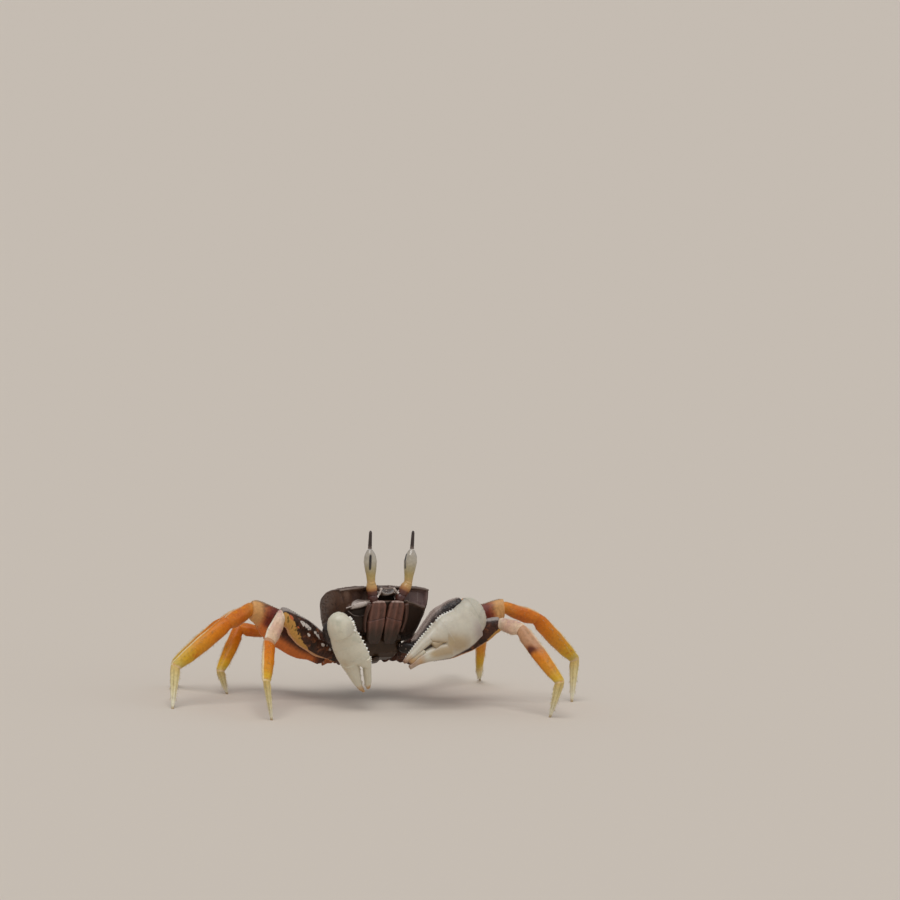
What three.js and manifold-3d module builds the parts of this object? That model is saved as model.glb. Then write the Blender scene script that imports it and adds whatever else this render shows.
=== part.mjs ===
// A horned ghost crab standing raised on its legs, as a life-size display model.
// Millimetres, +Z up. The crab faces -Y and its left side is +X.
import * as THREE from 'three';
import { mergeVertices } from 'three/addons/utils/BufferGeometryUtils.js';
import Module from 'manifold-3d';

const wasm = await Module();
wasm.setup();

// ---- Driving dimensions ----
const CARAPACE_WIDTH = 40;      // across the widest point of the shell
const CARAPACE_LENGTH = 34;     // tip of the front lobe to the rear margin
const BODY_CENTRE_HEIGHT = 32.6; // middle of the shell above the ground
const BODY_SHIFT = -0.8;        // the trunk leans a little to the crab's right
const BODY_PITCH = 20;          // degrees, front raised
const JOINT_GAP = 0.3;          // clear space between neighbouring pieces
const FOOT_RADIUS = 0.45;       // half width of the worn tip that meets the ground

// Lengths of each walking leg, from the trunk outwards:
// hip (coxa and ischium), merus, carpus, propodus, dactylus.
const LEG_LENGTHS = {
  2: [6.5, 34, 12, 26, 15.5],
  3: [7, 38, 13.5, 27.5, 16],
  4: [7, 35, 13, 26, 15],
  5: [5.5, 27, 10, 19.5, 10.5],
};
// Greatest half width of the blade-like merus of each leg.
const MERUS_HALF_WIDTH = { 2: 4.9, 3: 6.5, 4: 5.8, 5: 4.2 };
// Overall scale of the outer leg pieces' sections.
const SLENDERNESS = { 2: 1, 3: 1.05, 4: 1, 5: 0.86 };
// Hip sockets in the shell's own frame: sideways, forward, up.
const HIP = {
  2: [10.2, 1.1, -13],
  3: [10.8, -3.5, -13.2],
  4: [10.2, -7.9, -13.2],
  5: [8.4, -12.1, -12.8],
};
// Stance: for each piece its heading (0 straight out to the side, 90 forward)
// and its rise above the horizontal. The dactylus has a heading only:
// its slope is worked out so that its tip meets the ground.
const STANCE = {
  left: {
    2: { heading: [22, 23, 72, 56, 265], rise: [-19, 25, -2, -44] },
    3: { heading: [11, 13, 21, -15, -15], rise: [6, 28, -15, -39] },
    4: { heading: [-20, -19, -22, -64, -62], rise: [-12, 33, -22, -61] },
    5: { heading: [-30, -28, -36, -60, -66], rise: [0, 13, -4, -18, -34] },
  },
  right: {
    2: { heading: [13, 13, 36, 66, 205], rise: [-20, 30, -47, -27] },
    3: { heading: [-6, -5, 25, 9, 65], rise: [-11, 28, -18, -36] },
    4: { heading: [-18, -16, -10, -48, -115], rise: [-12, 31, -26, -43] },
    5: { heading: [-25, -24, -19, 34, 210], rise: [5, 14, 8, -53] },
  },
};
const SIDES = { left: 1, right: -1 };

const COLOURS = {
  shell: 0x46352f, underside: 0x3f2b28, mouth: 0x54393a, merus: 0x54382c, carpus: 0xc9813f,
  propodus: 0xc98a2c, dactylus: 0xd8c98a, claw: 0xd6cdbb, clawArm: 0x4a4048,
  stalk: 0xc0a06a, cornea: 0xb9b0a0, horn: 0x3a2a26,
};

// ---- Vectors and solids ----
const UP = new THREE.Vector3(0, 0, 1);
const vec = (x, y, z) => new THREE.Vector3(x, y, z);
// A point given as sideways (left positive), forward, up.
const place = ([left, forward, up]) => vec(left, -forward, up);

function heading(side, degrees, rise = 0) {
  const turn = THREE.MathUtils.degToRad(degrees);
  const slope = THREE.MathUtils.degToRad(rise);
  return vec(side * Math.cos(turn) * Math.cos(slope), -Math.sin(turn) * Math.cos(slope), Math.sin(slope));
}

// A closed skin through rings of points, with a fan over each end.
function loft(rings) {
  const sides = rings[0].length;
  const points = rings.flat();
  const faces = [];
  for (let i = 0; i + 1 < rings.length; i += 1) {
    for (let j = 0; j < sides; j += 1) {
      const a = i * sides + j;
      const b = i * sides + ((j + 1) % sides);
      faces.push(a, b, b + sides, a, b + sides, a + sides);
    }
  }
  const centreOf = (ring) => ring.reduce((sum, p) => sum.add(p), vec(0, 0, 0)).divideScalar(sides);
  const first = points.push(centreOf(rings[0])) - 1;
  const last = points.push(centreOf(rings[rings.length - 1])) - 1;
  const end = (rings.length - 1) * sides;
  for (let j = 0; j < sides; j += 1) {
    const k = (j + 1) % sides;
    faces.push(first, k, j, last, end + j, end + k);
  }
  const geometry = new THREE.BufferGeometry().setFromPoints(points);
  geometry.setIndex(faces);
  return geometry;
}

// One ring of a limb: an oval about `centre`, with its own reach towards +wide and -wide.
function oval(centre, wide, thin, { up, down, thick }, sides) {
  const ring = [];
  for (let j = 0; j < sides; j += 1) {
    const angle = (2 * Math.PI * j) / sides;
    const reach = Math.sin(angle) > 0 ? up : down;
    ring.push(centre.clone()
      .addScaledVector(thin, thick * Math.cos(angle))
      .addScaledVector(wide, reach * Math.sin(angle)));
  }
  return ring;
}

// Slides every point of a ring along `direction` onto the plane through `point`.
function trimRing(ring, direction, point, normal) {
  const rate = direction.dot(normal);
  return ring.map((p) => p.clone().addScaledVector(direction, point.clone().sub(p).dot(normal) / rate));
}

// A limb piece from `start` to `end`. `face` is the way its broad side looks.
// `profile` rows are [share of the length, reach up, reach down, half thickness].
function limb({ start, end, face, profile, sides, startPlane, endPlane }) {
  const along = end.clone().sub(start);
  const direction = along.clone().normalize();
  const thin = face.clone().addScaledVector(direction, -face.dot(direction)).normalize();
  const wide = direction.clone().cross(thin);
  const rings = profile.map(([share, up, down, thick]) => (
    oval(start.clone().addScaledVector(along, share), wide, thin, { up, down, thick }, sides)));
  if (startPlane) {
    rings[0] = trimRing(rings[0], direction, startPlane.point, startPlane.normal);
  }
  if (endPlane) {
    rings[rings.length - 1] = trimRing(rings[rings.length - 1], direction, endPlane.point, endPlane.normal);
  }
  return loft(rings);
}

function toSolid(geometry) {
  const bare = geometry.clone();
  bare.deleteAttribute('normal');
  bare.deleteAttribute('uv');
  const merged = mergeVertices(bare, 1e-5);
  return new wasm.Manifold(new wasm.Mesh({
    numProp: 3,
    vertProperties: new Float32Array(merged.attributes.position.array),
    triVerts: new Uint32Array(merged.index.array),
  }));
}

function toGeometry(solid) {
  const { vertProperties, triVerts, numProp } = solid.getMesh();
  const positions = [];
  for (let i = 0; i < vertProperties.length; i += numProp) {
    positions.push(vertProperties[i], vertProperties[i + 1], vertProperties[i + 2]);
  }
  const geometry = new THREE.BufferGeometry();
  geometry.setAttribute('position', new THREE.Float32BufferAttribute(positions, 3));
  geometry.setIndex(Array.from(triVerts));
  return geometry;
}

const subtract = (geometry, cutters) => (
  toGeometry(cutters.reduce((solid, cutter) => solid.subtract(toSolid(cutter)), toSolid(geometry))));

const crab = new THREE.Group();
const body = new THREE.Group();
body.position.set(BODY_SHIFT, 0, BODY_CENTRE_HEIGHT);
body.rotation.x = -THREE.MathUtils.degToRad(BODY_PITCH);
crab.add(body);

function addPiece(parent, name, geometry, colour, roughness = 0.5) {
  const closed = mergeVertices(geometry, 1e-5);
  closed.computeVertexNormals();
  const material = new THREE.MeshStandardMaterial({ color: colour, roughness, metalness: 0 });
  const mesh = new THREE.Mesh(closed, material);
  mesh.name = name;
  parent.add(mesh);
  return mesh;
}

body.updateMatrixWorld(true);
const onBody = (point) => place(point).applyMatrix4(body.matrixWorld);

// ---- Shell ----
const HALF = CARAPACE_WIDTH / 2;

// Half sections of the shell from the rear to the front. Each row is [forward as a share of the
// length, half width at the edge, edge height, crown height, half width below, height below];
// widths are shares of HALF and heights are from the middle of the shell.
const SHELL_SECTIONS = [
  [-0.5, 0.48, 2.6, 3.6, 0.42, -2],
  [-0.459, 0.62, 3.4, 5.4, 0.55, -5.4],
  [-0.368, 0.78, 4.8, 7.6, 0.68, -7.6],
  [-0.235, 0.91, 6.8, 9.6, 0.76, -8],
  [-0.059, 0.985, 8.5, 10.8, 0.82, -8],
  [0.118, 1, 9.4, 11, 0.8, -7.6],
  [0.221, 0.99, 9.4, 10.8, 0.72, -5.2],
  [0.294, 0.97, 9.1, 10.4, 0.66, -1.8],
  [0.371, 0.945, 8.7, 9.9, 0.6, 2],
  [0.418, 0.6, 7.9, 9.6, 0.44, 4.2],
  [0.459, 0.3, 7, 9.3, 0.24, 5.4],
];

function shellRing([share, edge, edgeHeight, crown, low, lowHeight]) {
  const y = -share * CARAPACE_LENGTH;
  const edgeWidth = edge * HALF;
  const lowWidth = low * HALF;
  const rise = crown - edgeHeight;
  const waist = (edgeHeight + lowHeight) / 2;
  const half = [
    [lowWidth * 0.55, lowHeight],
    [lowWidth, lowHeight + 0.08 * (edgeHeight - lowHeight)],
    [0.55 * edgeWidth + 0.45 * lowWidth, waist - 0.18 * (edgeHeight - lowHeight)],
    [0.95 * edgeWidth, waist + 0.2 * (edgeHeight - lowHeight)],
    [edgeWidth, edgeHeight],
    [edgeWidth * 0.84, edgeHeight + 0.5 * rise],
    [edgeWidth * 0.5, edgeHeight + 0.88 * rise],
  ];
  const right = half.map(([x, z]) => vec(-x, y, z));
  const left = half.map(([x, z]) => vec(x, y, z)).reverse();
  return [vec(0, y, lowHeight), ...right, vec(0, y, crown), ...left];
}

// The eye sockets are long troughs under the front edge.
function socketCutter(side) {
  const start = place([side * 4.8, 17.6, 6.6]);
  const end = place([side * 18.4, 15.2, 5.6]);
  return limb({
    start, end, face: vec(0, -1, 0), sides: 12,
    profile: [[0, 1.4, 1.4, 1.8], [0.12, 2.2, 2.4, 3.2], [0.6, 2.5, 2.6, 3.6], [0.9, 2.2, 2.2, 3],
      [1, 1.4, 1.4, 1.8]],
  });
}

// Each socket is open above at its inner end, where the eyestalk stands up out of it.
function stalkNotch(side) {
  const radius = 2.9;
  const profile = [[0, radius, radius, radius], [1, radius, radius, radius]];
  const [start, end] = [[side * 6.1, 16, 4], [side * 7, 15.2, 13]].map(place);
  return limb({ start, end, face: vec(0, -1, 0), sides: 14, profile });
}

const shellSkin = loft(SHELL_SECTIONS.map(shellRing).reverse());
const shellCutters = [1, -1].flatMap((side) => [socketCutter(side), stalkNotch(side)]);
addPiece(body, 'carapace', subtract(shellSkin, shellCutters), COLOURS.shell, 0.45);

// ---- Breastplate under the shell ----
const TRUNK_SECTIONS = [
  [-14.8, 5, -8.4, -11.2],
  [-12.4, 8.6, -8.3, -14.4],
  [-6.6, 10, -8.3, -15.4],
  [-0.6, 10.4, -8.3, -15.4],
  [2.6, 10, -8.1, -14.2],
  [5.2, 8.8, -7.9, -10.2],
];
const trunkSkin = loft(TRUNK_SECTIONS.map(([forward, width, top, bottom]) => {
  const chamfer = 0.35 * (top - bottom);
  const outline = [[-width, top], [-width, bottom + chamfer], [-width * 0.72, bottom],
    [0, bottom - 0.2], [width * 0.72, bottom], [width, bottom + chamfer], [width, top], [0, top]];
  return outline.map(([x, z]) => vec(-x, -forward, z));
}).reverse());

// ---- Mouth plates, tail flap and eyes ----
const MOUTH_TOP = [3.95, 15.4, 3.3];
const MOUTH_BOTTOM = [3.5, 5.9, -10.9];
const MOUTH_PLATE = [[0, 2.6, 2.6, 0.5], [0.1, 3.4, 3.4, 0.75], [0.55, 3.6, 3.6, 0.8], [0.92, 3, 3, 0.7],
  [1, 2.2, 2.2, 0.5]];

function addMouthPlate(sideName) {
  const side = SIDES[sideName];
  const [start, end] = [MOUTH_TOP, MOUTH_BOTTOM].map(
    ([out, forward, up]) => place([side * out, forward, up]));
  const slope = end.clone().sub(start);
  const face = vec(0, slope.z, -slope.y);
  const plate = limb({ start, end, face, profile: MOUTH_PLATE, sides: 12 });
  addPiece(body, `maxilliped_${sideName}`, plate, COLOURS.mouth);
}

// The tail is folded under the trunk: rows of [forward, up, half width, half thickness].
const TAIL = [
  [-17.8, -3, 4.6, 0.5], [-17.6, -7.4, 5.4, 0.6], [-15.9, -12.8, 5.2, 0.6], [-13, -15.6, 4.6, 0.55],
  [-6.6, -16.4, 3.4, 0.5], [-1.6, -16.3, 2.2, 0.5], [1, -15.8, 0.9, 0.35],
];

function addTail() {
  const centres = TAIL.map(([forward, up]) => place([0, forward, up]));
  const rings = TAIL.map(([, , width, thick], i) => {
    const before = centres[Math.max(0, i - 1)];
    const after = centres[Math.min(TAIL.length - 1, i + 1)];
    const direction = after.clone().sub(before).normalize();
    const thin = vec(1, 0, 0).cross(direction).normalize();
    return oval(centres[i], direction.clone().cross(thin), thin, { up: width, down: width, thick }, 12);
  });
  addPiece(body, 'abdomen', loft(rings), COLOURS.underside);
}

// Each eye stands on a stalk; the cornea wraps the stalk and a horn tops it.
const EYE = {
  base: [6.2, 12, 43.6], bend: [7.8, 11.9, 48.1], top: [8.9, 11.2, 61], hornTip: [9, 11.1, 68.2],
  stalk: [[0, 2.1, 2.1, 2], [0.4, 2.2, 2.2, 2.1], [0.8, 2.1, 2.1, 1.9], [1, 1.9, 1.9, 1.7]],
  cornea: [[0, 1.6, 1.6, 1.5], [0.2, 1.8, 1.8, 1.65], [0.42, 2.3, 2.3, 2.1], [0.64, 2.6, 2.6, 2.3],
    [0.82, 2.25, 2.25, 2], [0.94, 1.5, 1.5, 1.4], [1, 0.9, 0.9, 0.9]],
  horn: [[0.04, 0.8, 0.8, 0.8], [0.5, 0.7, 0.7, 0.7], [0.92, 0.6, 0.6, 0.6], [1, 0.35, 0.35, 0.35]],
};

function addEye(sideName) {
  const side = SIDES[sideName];
  const [base, bend, top, hornTip] = [EYE.base, EYE.bend, EYE.top, EYE.hornTip].map(
    ([out, forward, up]) => place([side * out, forward, up]));
  base.x += BODY_SHIFT;
  const face = vec(0, -1, 0);
  const step = (from, to) => to.clone().sub(from).normalize();
  const stalkJoint = (offset) => jointPlane(bend, step(base, bend), step(bend, top), offset);
  const piece = (name, start, end, profile, colour, roughness, planes = {}) => {
    const skin = limb({ start, end, face, profile, sides: 12, ...planes });
    addPiece(crab, `${name}_${sideName}`, skin, colour, roughness);
  };
  piece('eyestalk', base, bend, EYE.stalk, COLOURS.stalk, 0.5, { endPlane: stalkJoint(-1) });
  piece('cornea', bend, top, EYE.cornea, COLOURS.cornea, 0.2, { startPlane: stalkJoint(1) });
  piece('horn', top, hornTip, EYE.horn, COLOURS.horn, 0.5);
}

for (const sideName of Object.keys(SIDES)) {
  addMouthPlate(sideName);
  addEye(sideName);
}
addTail();

// ---- Walking legs ----
const MERUS_SHAPE = [
  // share of the length, reach up, reach down, half thickness, as shares of the greatest half width
  [0, 0.3, 0.45, 0.34], [0.12, 0.4, 0.72, 0.38], [0.35, 0.7, 1.18, 0.4], [0.62, 0.86, 1.18, 0.4],
  [0.85, 0.77, 0.88, 0.39], [1, 0.6, 0.54, 0.36],
];
const CARPUS_SHAPE = [[0, 1.9, 1.9, 1.5], [0.3, 2.9, 2.4, 2], [0.7, 3.3, 2.9, 2.1], [1, 2.8, 2.6, 1.8]];
const PROPODUS_SHAPE = [[0, 2.2, 2, 1.5], [0.12, 2.8, 2.5, 1.7], [0.45, 3.2, 2.8, 1.8],
  [0.8, 2.7, 2.3, 1.5], [1, 1.9, 1.7, 1.2]];
const DACTYLUS_SHAPE = [[0, 1.6, 1.5, 1.1], [0.3, 1.6, 1.5, 1.1], [0.7, 1.05, 1, 0.8]];

const scaled = (shape, size) => (
  shape.map(([share, up, down, thick]) => [share, up * size, down * size, thick * size]));

// The plane midway between two pieces that meet at `point`, moved half the joint gap
// towards the first piece (`step` -1) or the second (`step` 1).
function jointPlane(point, before, after, step) {
  const normal = before.clone().add(after).normalize();
  return { point: point.clone().addScaledVector(normal, (step * JOINT_GAP) / 2), normal };
}

function legPath(side, number, stance) {
  const lengths = LEG_LENGTHS[number];
  const [out, forward, up] = HIP[number];
  const points = [onBody([side * out - BODY_SHIFT, forward, up])];
  const directions = stance.rise.map((rise, i) => heading(side, stance.heading[i], rise));
  directions.forEach((direction, i) => {
    points.push(points[i].clone().addScaledVector(direction, lengths[i]));
  });
  if (stance.rise.length === 4) {
    const drop = Math.min(1, points[4].z / lengths[4]);
    const slope = -THREE.MathUtils.radToDeg(Math.asin(drop));
    directions.push(heading(side, stance.heading[4], slope));
    points.push(points[4].clone().addScaledVector(directions[4], points[4].z / drop));
  }
  return { points, directions };
}

const hipCutters = [];

function addLeg(sideName, number) {
  const side = SIDES[sideName];
  const stance = STANCE[sideName][number];
  const { points, directions } = legPath(side, number, stance);
  const size = SLENDERNESS[number];
  const label = `${sideName}_leg${number}`;
  const faceOf = (i) => UP.clone().cross(heading(side, stance.heading[i]));
  // The leg bends in one plane beyond the merus, and its outer pieces look squarely out of that plane.
  const bendFace = directions[1].clone().cross(directions[3]).normalize();
  if (bendFace.dot(faceOf(3)) < 0) {
    bendFace.negate();
  }

  // The hip pieces and the merus make one solid, bent a little where they join.
  const half = MERUS_HALF_WIDTH[number];
  const hipDirection = directions[0];
  const hipThin = faceOf(0);
  const hipWide = hipDirection.clone().cross(hipThin).normalize();
  const hipRing = (share, up, down, thick) => oval(
    points[0].clone().lerp(points[1], share), hipWide, hipThin, { up, down, thick }, 12);
  const merusThin = faceOf(1);
  const merusWide = directions[1].clone().cross(merusThin);
  const endPlane = jointPlane(points[2], directions[1], directions[2], -1);
  const merusRings = MERUS_SHAPE.map(([share, up, down, thick]) => oval(
    points[1].clone().lerp(points[2], share), merusWide, merusThin,
    { up: up * half, down: down * half, thick: thick * half }, 12));
  merusRings.push(trimRing(merusRings.pop(), directions[1], endPlane.point, endPlane.normal));
  const rings = [hipRing(0, 2, 2, 1.7), hipRing(0.5, 2.2, 2.2, 1.75), ...merusRings];
  addPiece(crab, `${label}_merus`, loft(rings), COLOURS.merus);

  const outer = [
    ['carpus', CARPUS_SHAPE, COLOURS.carpus],
    ['propodus', PROPODUS_SHAPE, COLOURS.propodus],
    ['dactylus', DACTYLUS_SHAPE, COLOURS.dactylus],
  ];
  outer.forEach(([name, shape, colour], i) => {
    const k = i + 2;
    const isFoot = name === 'dactylus';
    const profile = scaled(shape, size);
    if (isFoot) {
      profile.push([1, FOOT_RADIUS, FOOT_RADIUS, FOOT_RADIUS]);
    }
    const geometry = limb({
      start: points[k], end: points[k + 1], face: bendFace, profile, sides: isFoot ? 8 : 10,
      startPlane: jointPlane(points[k], directions[k - 1], directions[k], 1),
      endPlane: isFoot
        ? { point: points[k + 1], normal: stance.rise.length === 4 ? UP : directions[k] }
        : jointPlane(points[k + 1], directions[k], directions[k + 1], -1),
    });
    addPiece(crab, `${label}_${name}`, geometry, colour);
  });

  // Room for the hip in the breastplate, a little larger than the hip itself.
  const inside = points[0].clone().addScaledVector(hipDirection, -1);
  const outside = points[0].clone().addScaledVector(hipDirection, 8);
  hipCutters.push(limb({
    start: inside, end: outside, face: hipThin, sides: 12,
    profile: [[0, 2.35, 2.35, 2.05], [1, 3, 3, 2.4]],
  }));
}

for (const sideName of Object.keys(SIDES)) {
  for (const number of [2, 3, 4, 5]) {
    addLeg(sideName, number);
  }
}

// ---- Claws ----
// Each claw: arm from the trunk to the wrist piece, wrist piece, palm with fixed finger, moving finger.
// Profile rows are [share of the length, reach up, reach down, half thickness]. The wrist piece is an
// egg; its offset from the palm's start and its radii run across the palm, along it and out of its face.
const CLAWS = {
  left: {
    hip: [8.2, 8.4, 21.6], elbow: [13, 12.4, 22.8], armEnd: [31, 16.6, 39.2],
    wristPiece: { offset: [5.6, 0, -1.9], radii: [7.6, 5.7, 5.1] },
    palmStart: [33.8, 23.2, 31.6], tip: [5.2, 25.4, 18],
    face: [-0.409, 0.91, -0.1],
    armProfile: [[0, 3.2, 3, 2.1], [0.25, 5.2, 3, 2.3], [0.55, 7.4, 2.8, 2.4], [0.85, 6.2, 2.6, 2.3],
      [1, 4.6, 2.6, 2.1]],
    palmProfile: [[0, 10.6, 3.2, 3.2], [0.12, 11.3, 4.5, 4.2], [0.23, 11.8, 5, 4.5], [0.38, 12.2, 5.2, 4.5],
      [0.49, 11.2, 4.8, 4.1], [0.51, 3.1, 4.7, 3.9]],
    fixedFinger: [[0.6, 3.4, 3.8, 3], [0.67, 3.1, 3, 2.6], [0.77, 3, 2, 2.1], [0.9, 2.2, 1.1, 1.5],
      [1.03, 0.6, 1.2, 0.8]],
    movingFinger: [[0.525, 10.8, -3.5, 3.3], [0.6, 9.7, -3.8, 3.1], [0.68, 8.7, -4, 2.9],
      [0.78, 7.5, -3.4, 2.5], [0.9, 5.9, -2.6, 2], [1.07, 3.5, -1.9, 0.9]],
  },
  right: {
    hip: [-8.2, 9.1, 21.9], elbow: [-16.4, 11.4, 21.4], armEnd: [-26.6, 18.8, 33],
    wristPiece: { offset: [-0.8, -1.5, 0.4], radii: [5.2, 7.9, 5.2] },
    palmStart: [-23.6, 25.4, 30.8], tip: [-10.6, 20.6, 8.3],
    face: [0.409, -0.897, -0.165],
    armProfile: [[0, 3, 3, 2.4], [0.3, 4.6, 4.4, 2.6], [0.7, 5.2, 4.8, 2.6], [1, 4, 3.6, 2.2]],
    palmProfile: [[0, 4.4, 5.8, 2.8], [0.15, 5.1, 6.7, 3.3], [0.32, 5.6, 6.7, 3.5], [0.48, 5.8, 6.1, 3.2],
      [0.495, 1.3, 6, 3]],
    fixedFinger: [[0.56, 0.8, 5.5, 2.5], [0.68, 0, 5, 2.2], [0.82, -0.9, 4.3, 1.8],
      [0.94, -1.4, 3.3, 1.3], [1.01, -1.1, 2.3, 0.8]],
    movingFinger: [[0.51, 5.7, -2, 2.4], [0.6, 5.2, -1.7, 2.3], [0.75, 3.9, -0.7, 1.9],
      [0.9, 2.6, 0.2, 1.4], [0.99, 1.3, 0.2, 0.8]],
  },
};

function bandRing(centre, wide, thin, [, upper, lower, thick], sides) {
  const half = (upper + lower) / 2;
  const middle = centre.clone().addScaledVector(wide, upper - half);
  return oval(middle, wide, thin, { up: half, down: half, thick }, sides);
}

function bandLoft(start, end, face, profile, sides) {
  const along = end.clone().sub(start);
  const direction = along.clone().normalize();
  const thin = face.clone().addScaledVector(direction, -face.dot(direction)).normalize();
  const wide = direction.clone().cross(thin);
  return loft(profile.map((row) => (
    bandRing(start.clone().addScaledVector(along, row[0]), wide, thin, row, sides))));
}

// A box-like cutter that fills the half space beyond a plane, for trimming a rounded piece flat.
function beyondPlane(point, direction) {
  const size = 30;
  const box = new THREE.BoxGeometry(size, size, size);
  box.applyQuaternion(new THREE.Quaternion().setFromUnitVectors(UP, direction));
  return box.translate(...point.clone().addScaledVector(direction, size / 2).toArray());
}

function addClaw(sideName) {
  const claw = CLAWS[sideName];
  const { hip, elbow, armEnd, palmStart, tip, face } = Object.fromEntries(
    ['hip', 'elbow', 'armEnd', 'palmStart', 'tip', 'face'].map((key) => [key, place(claw[key])]));
  const label = `${sideName}_claw`;

  const armDirection = armEnd.clone().sub(elbow).normalize();
  const armThin = face.clone().addScaledVector(armDirection, -face.dot(armDirection)).normalize();
  if (armDirection.clone().cross(armThin).z < 0) {
    armThin.negate();
  }
  const armWide = armDirection.clone().cross(armThin);
  const armRings = claw.armProfile.map((row) => (
    bandRing(elbow.clone().lerp(armEnd, row[0]), armWide, armThin, row, 12)));
  const hipDirection = elbow.clone().sub(hip).normalize();
  const hipThin = armThin.clone().addScaledVector(hipDirection, -armThin.dot(hipDirection)).normalize();
  const hipWide = hipDirection.clone().cross(hipThin);
  const hipRing = bandRing(hip, hipWide, hipThin, [0, 2.6, 2.6, 2], 12);
  addPiece(crab, `${label}_arm`, loft([hipRing, ...armRings]), COLOURS.clawArm);
  hipCutters.push(bandLoft(hip.clone().addScaledVector(hipDirection, -1), elbow, face,
    [[0, 3, 3, 2.4], [1, 3.8, 3.8, 2.8]], 12));

  const palmDirection = tip.clone().sub(palmStart).normalize();
  const palmThin = face.clone().addScaledVector(palmDirection, -face.dot(palmDirection)).normalize();
  const palmAxes = [palmDirection.clone().cross(palmThin), palmDirection, palmThin];
  const { offset, radii } = claw.wristPiece;
  const wristCentre = palmAxes.reduce(
    (point, axis, i) => point.addScaledVector(axis, offset[i]), palmStart.clone());
  const wristSkin = new THREE.SphereGeometry(1, 16, 12);
  wristSkin.scale(...radii);
  wristSkin.applyMatrix4(new THREE.Matrix4().makeBasis(...palmAxes).setPosition(wristCentre));
  // The wrist piece is flat against the palm and hollowed for the end of the arm.
  const armSocket = claw.armProfile.map(([share, up, down, thick]) => bandRing(
    elbow.clone().lerp(armEnd, share).addScaledVector(armDirection, share * JOINT_GAP), armWide, armThin,
    [share, up + JOINT_GAP, down + JOINT_GAP, thick + JOINT_GAP], 12));
  const wrist = subtract(wristSkin, [
    loft(armSocket),
    beyondPlane(palmStart.clone().addScaledVector(palmDirection, -JOINT_GAP), palmDirection),
  ]);
  addPiece(crab, `${label}_carpus`, wrist, COLOURS.claw, 0.35);

  const hand = bandLoft(palmStart, tip, face, [...claw.palmProfile, ...claw.fixedFinger], 14);
  const finger = bandLoft(palmStart, tip, face, claw.movingFinger, 12);
  addPiece(crab, `${label}_hand`, hand, COLOURS.claw, 0.35);
  addPiece(crab, `${label}_finger`, finger, COLOURS.claw, 0.35);
}

for (const sideName of Object.keys(SIDES)) {
  addClaw(sideName);
}

crab.updateMatrixWorld(true);
const toBodyFrame = body.matrixWorld.clone().invert();
addPiece(body, 'sternum', subtract(trunkSkin, hipCutters.map((cutter) => cutter.applyMatrix4(toBodyFrame))),
  COLOURS.underside, 0.5);

// The origin is the middle of the footprint, on the ground.
const bounds = new THREE.Box3().setFromObject(crab);
const footprint = bounds.getCenter(new THREE.Vector3());
crab.position.set(-footprint.x, -footprint.y, -bounds.min.z);
const model = new THREE.Group();
model.add(crab);

export default model;
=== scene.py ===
import math

import bpy
import numpy as np
from bpy.props import FloatProperty, FloatVectorProperty, IntProperty, PointerProperty
from mathutils import Matrix, Vector


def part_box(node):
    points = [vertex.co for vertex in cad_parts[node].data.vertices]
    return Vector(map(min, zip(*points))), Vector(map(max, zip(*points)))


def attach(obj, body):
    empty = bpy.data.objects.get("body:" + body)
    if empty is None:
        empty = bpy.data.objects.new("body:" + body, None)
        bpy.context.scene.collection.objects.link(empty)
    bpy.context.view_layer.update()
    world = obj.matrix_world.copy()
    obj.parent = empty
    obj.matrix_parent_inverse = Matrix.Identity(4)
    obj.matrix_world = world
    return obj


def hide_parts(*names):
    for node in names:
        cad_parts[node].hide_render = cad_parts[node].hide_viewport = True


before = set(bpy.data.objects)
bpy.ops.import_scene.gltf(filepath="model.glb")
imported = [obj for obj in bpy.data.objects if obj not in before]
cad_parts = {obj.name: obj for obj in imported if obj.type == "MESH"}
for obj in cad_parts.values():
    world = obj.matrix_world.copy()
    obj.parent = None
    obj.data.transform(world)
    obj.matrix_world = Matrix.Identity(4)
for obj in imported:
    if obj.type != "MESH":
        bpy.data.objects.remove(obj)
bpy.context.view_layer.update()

bl_info = {
    "name": "Horned ghost crab model",
    "version": (1, 0, 0),
    "blender": (4, 5, 0),
    "location": "View3D > Sidebar > Ghost crab",
    "description": "Dresses the solids of a life-size ghost crab with shell, claws, eyes and bristles",
    "category": "Object",
}

# Lengths below are in millimetres unless a line says otherwise, and shares run from 0 to 1.
MM = 0.001  # one millimetre in the scene's metres
SIDES = {"left": 1, "right": -1}
LEG_NUMBERS = (2, 3, 4, 5)
LEG_PIECES = ("merus", "carpus", "propodus", "dactylus")
UP, DOWN = math.pi / 2, -math.pi / 2  # the edges of a limb, as angles round it; 0 faces front
ONE_TURN = 6.28  # of a wave, near enough
SHELL_SEED, WRIST_SEED, BRISTLE_SEED = 20, 44, 900
ARM_SEEDS = {"left": 9, "right": 10}
HAND_SEEDS = {"left": 7, "right": 8}


# ---------------------------------------------------------------- small sums

def linear(colour):
    """An sRGB hex code as linear red, green, blue; a colour that is linear already stays as it is."""
    if not isinstance(colour, str):
        return tuple(colour)
    channels = [int(colour[i:i + 2], 16) / 255 for i in (1, 3, 5)]
    return tuple(c / 12.92 if c <= 0.04045 else ((c + 0.055) / 1.055) ** 2.4 for c in channels)


def unit(v):
    v = np.asarray(v, float)
    return v / np.linalg.norm(v, axis=-1, keepdims=True)


def ease(low, high, x):
    """0 below low, 1 above high, and smooth between them."""
    t = np.clip((np.asarray(x, float) - low) / (high - low), 0, 1)
    return t * t * (3 - 2 * t)


def bell(x, centre, spread):
    return np.exp(-(((np.asarray(x, float) - centre) / spread) ** 2))


def around(angle, centre, spread):
    """A bell round a centre angle."""
    return bell(np.angle(np.exp(1j * (np.asarray(angle) - centre))), 0, spread)


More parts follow.
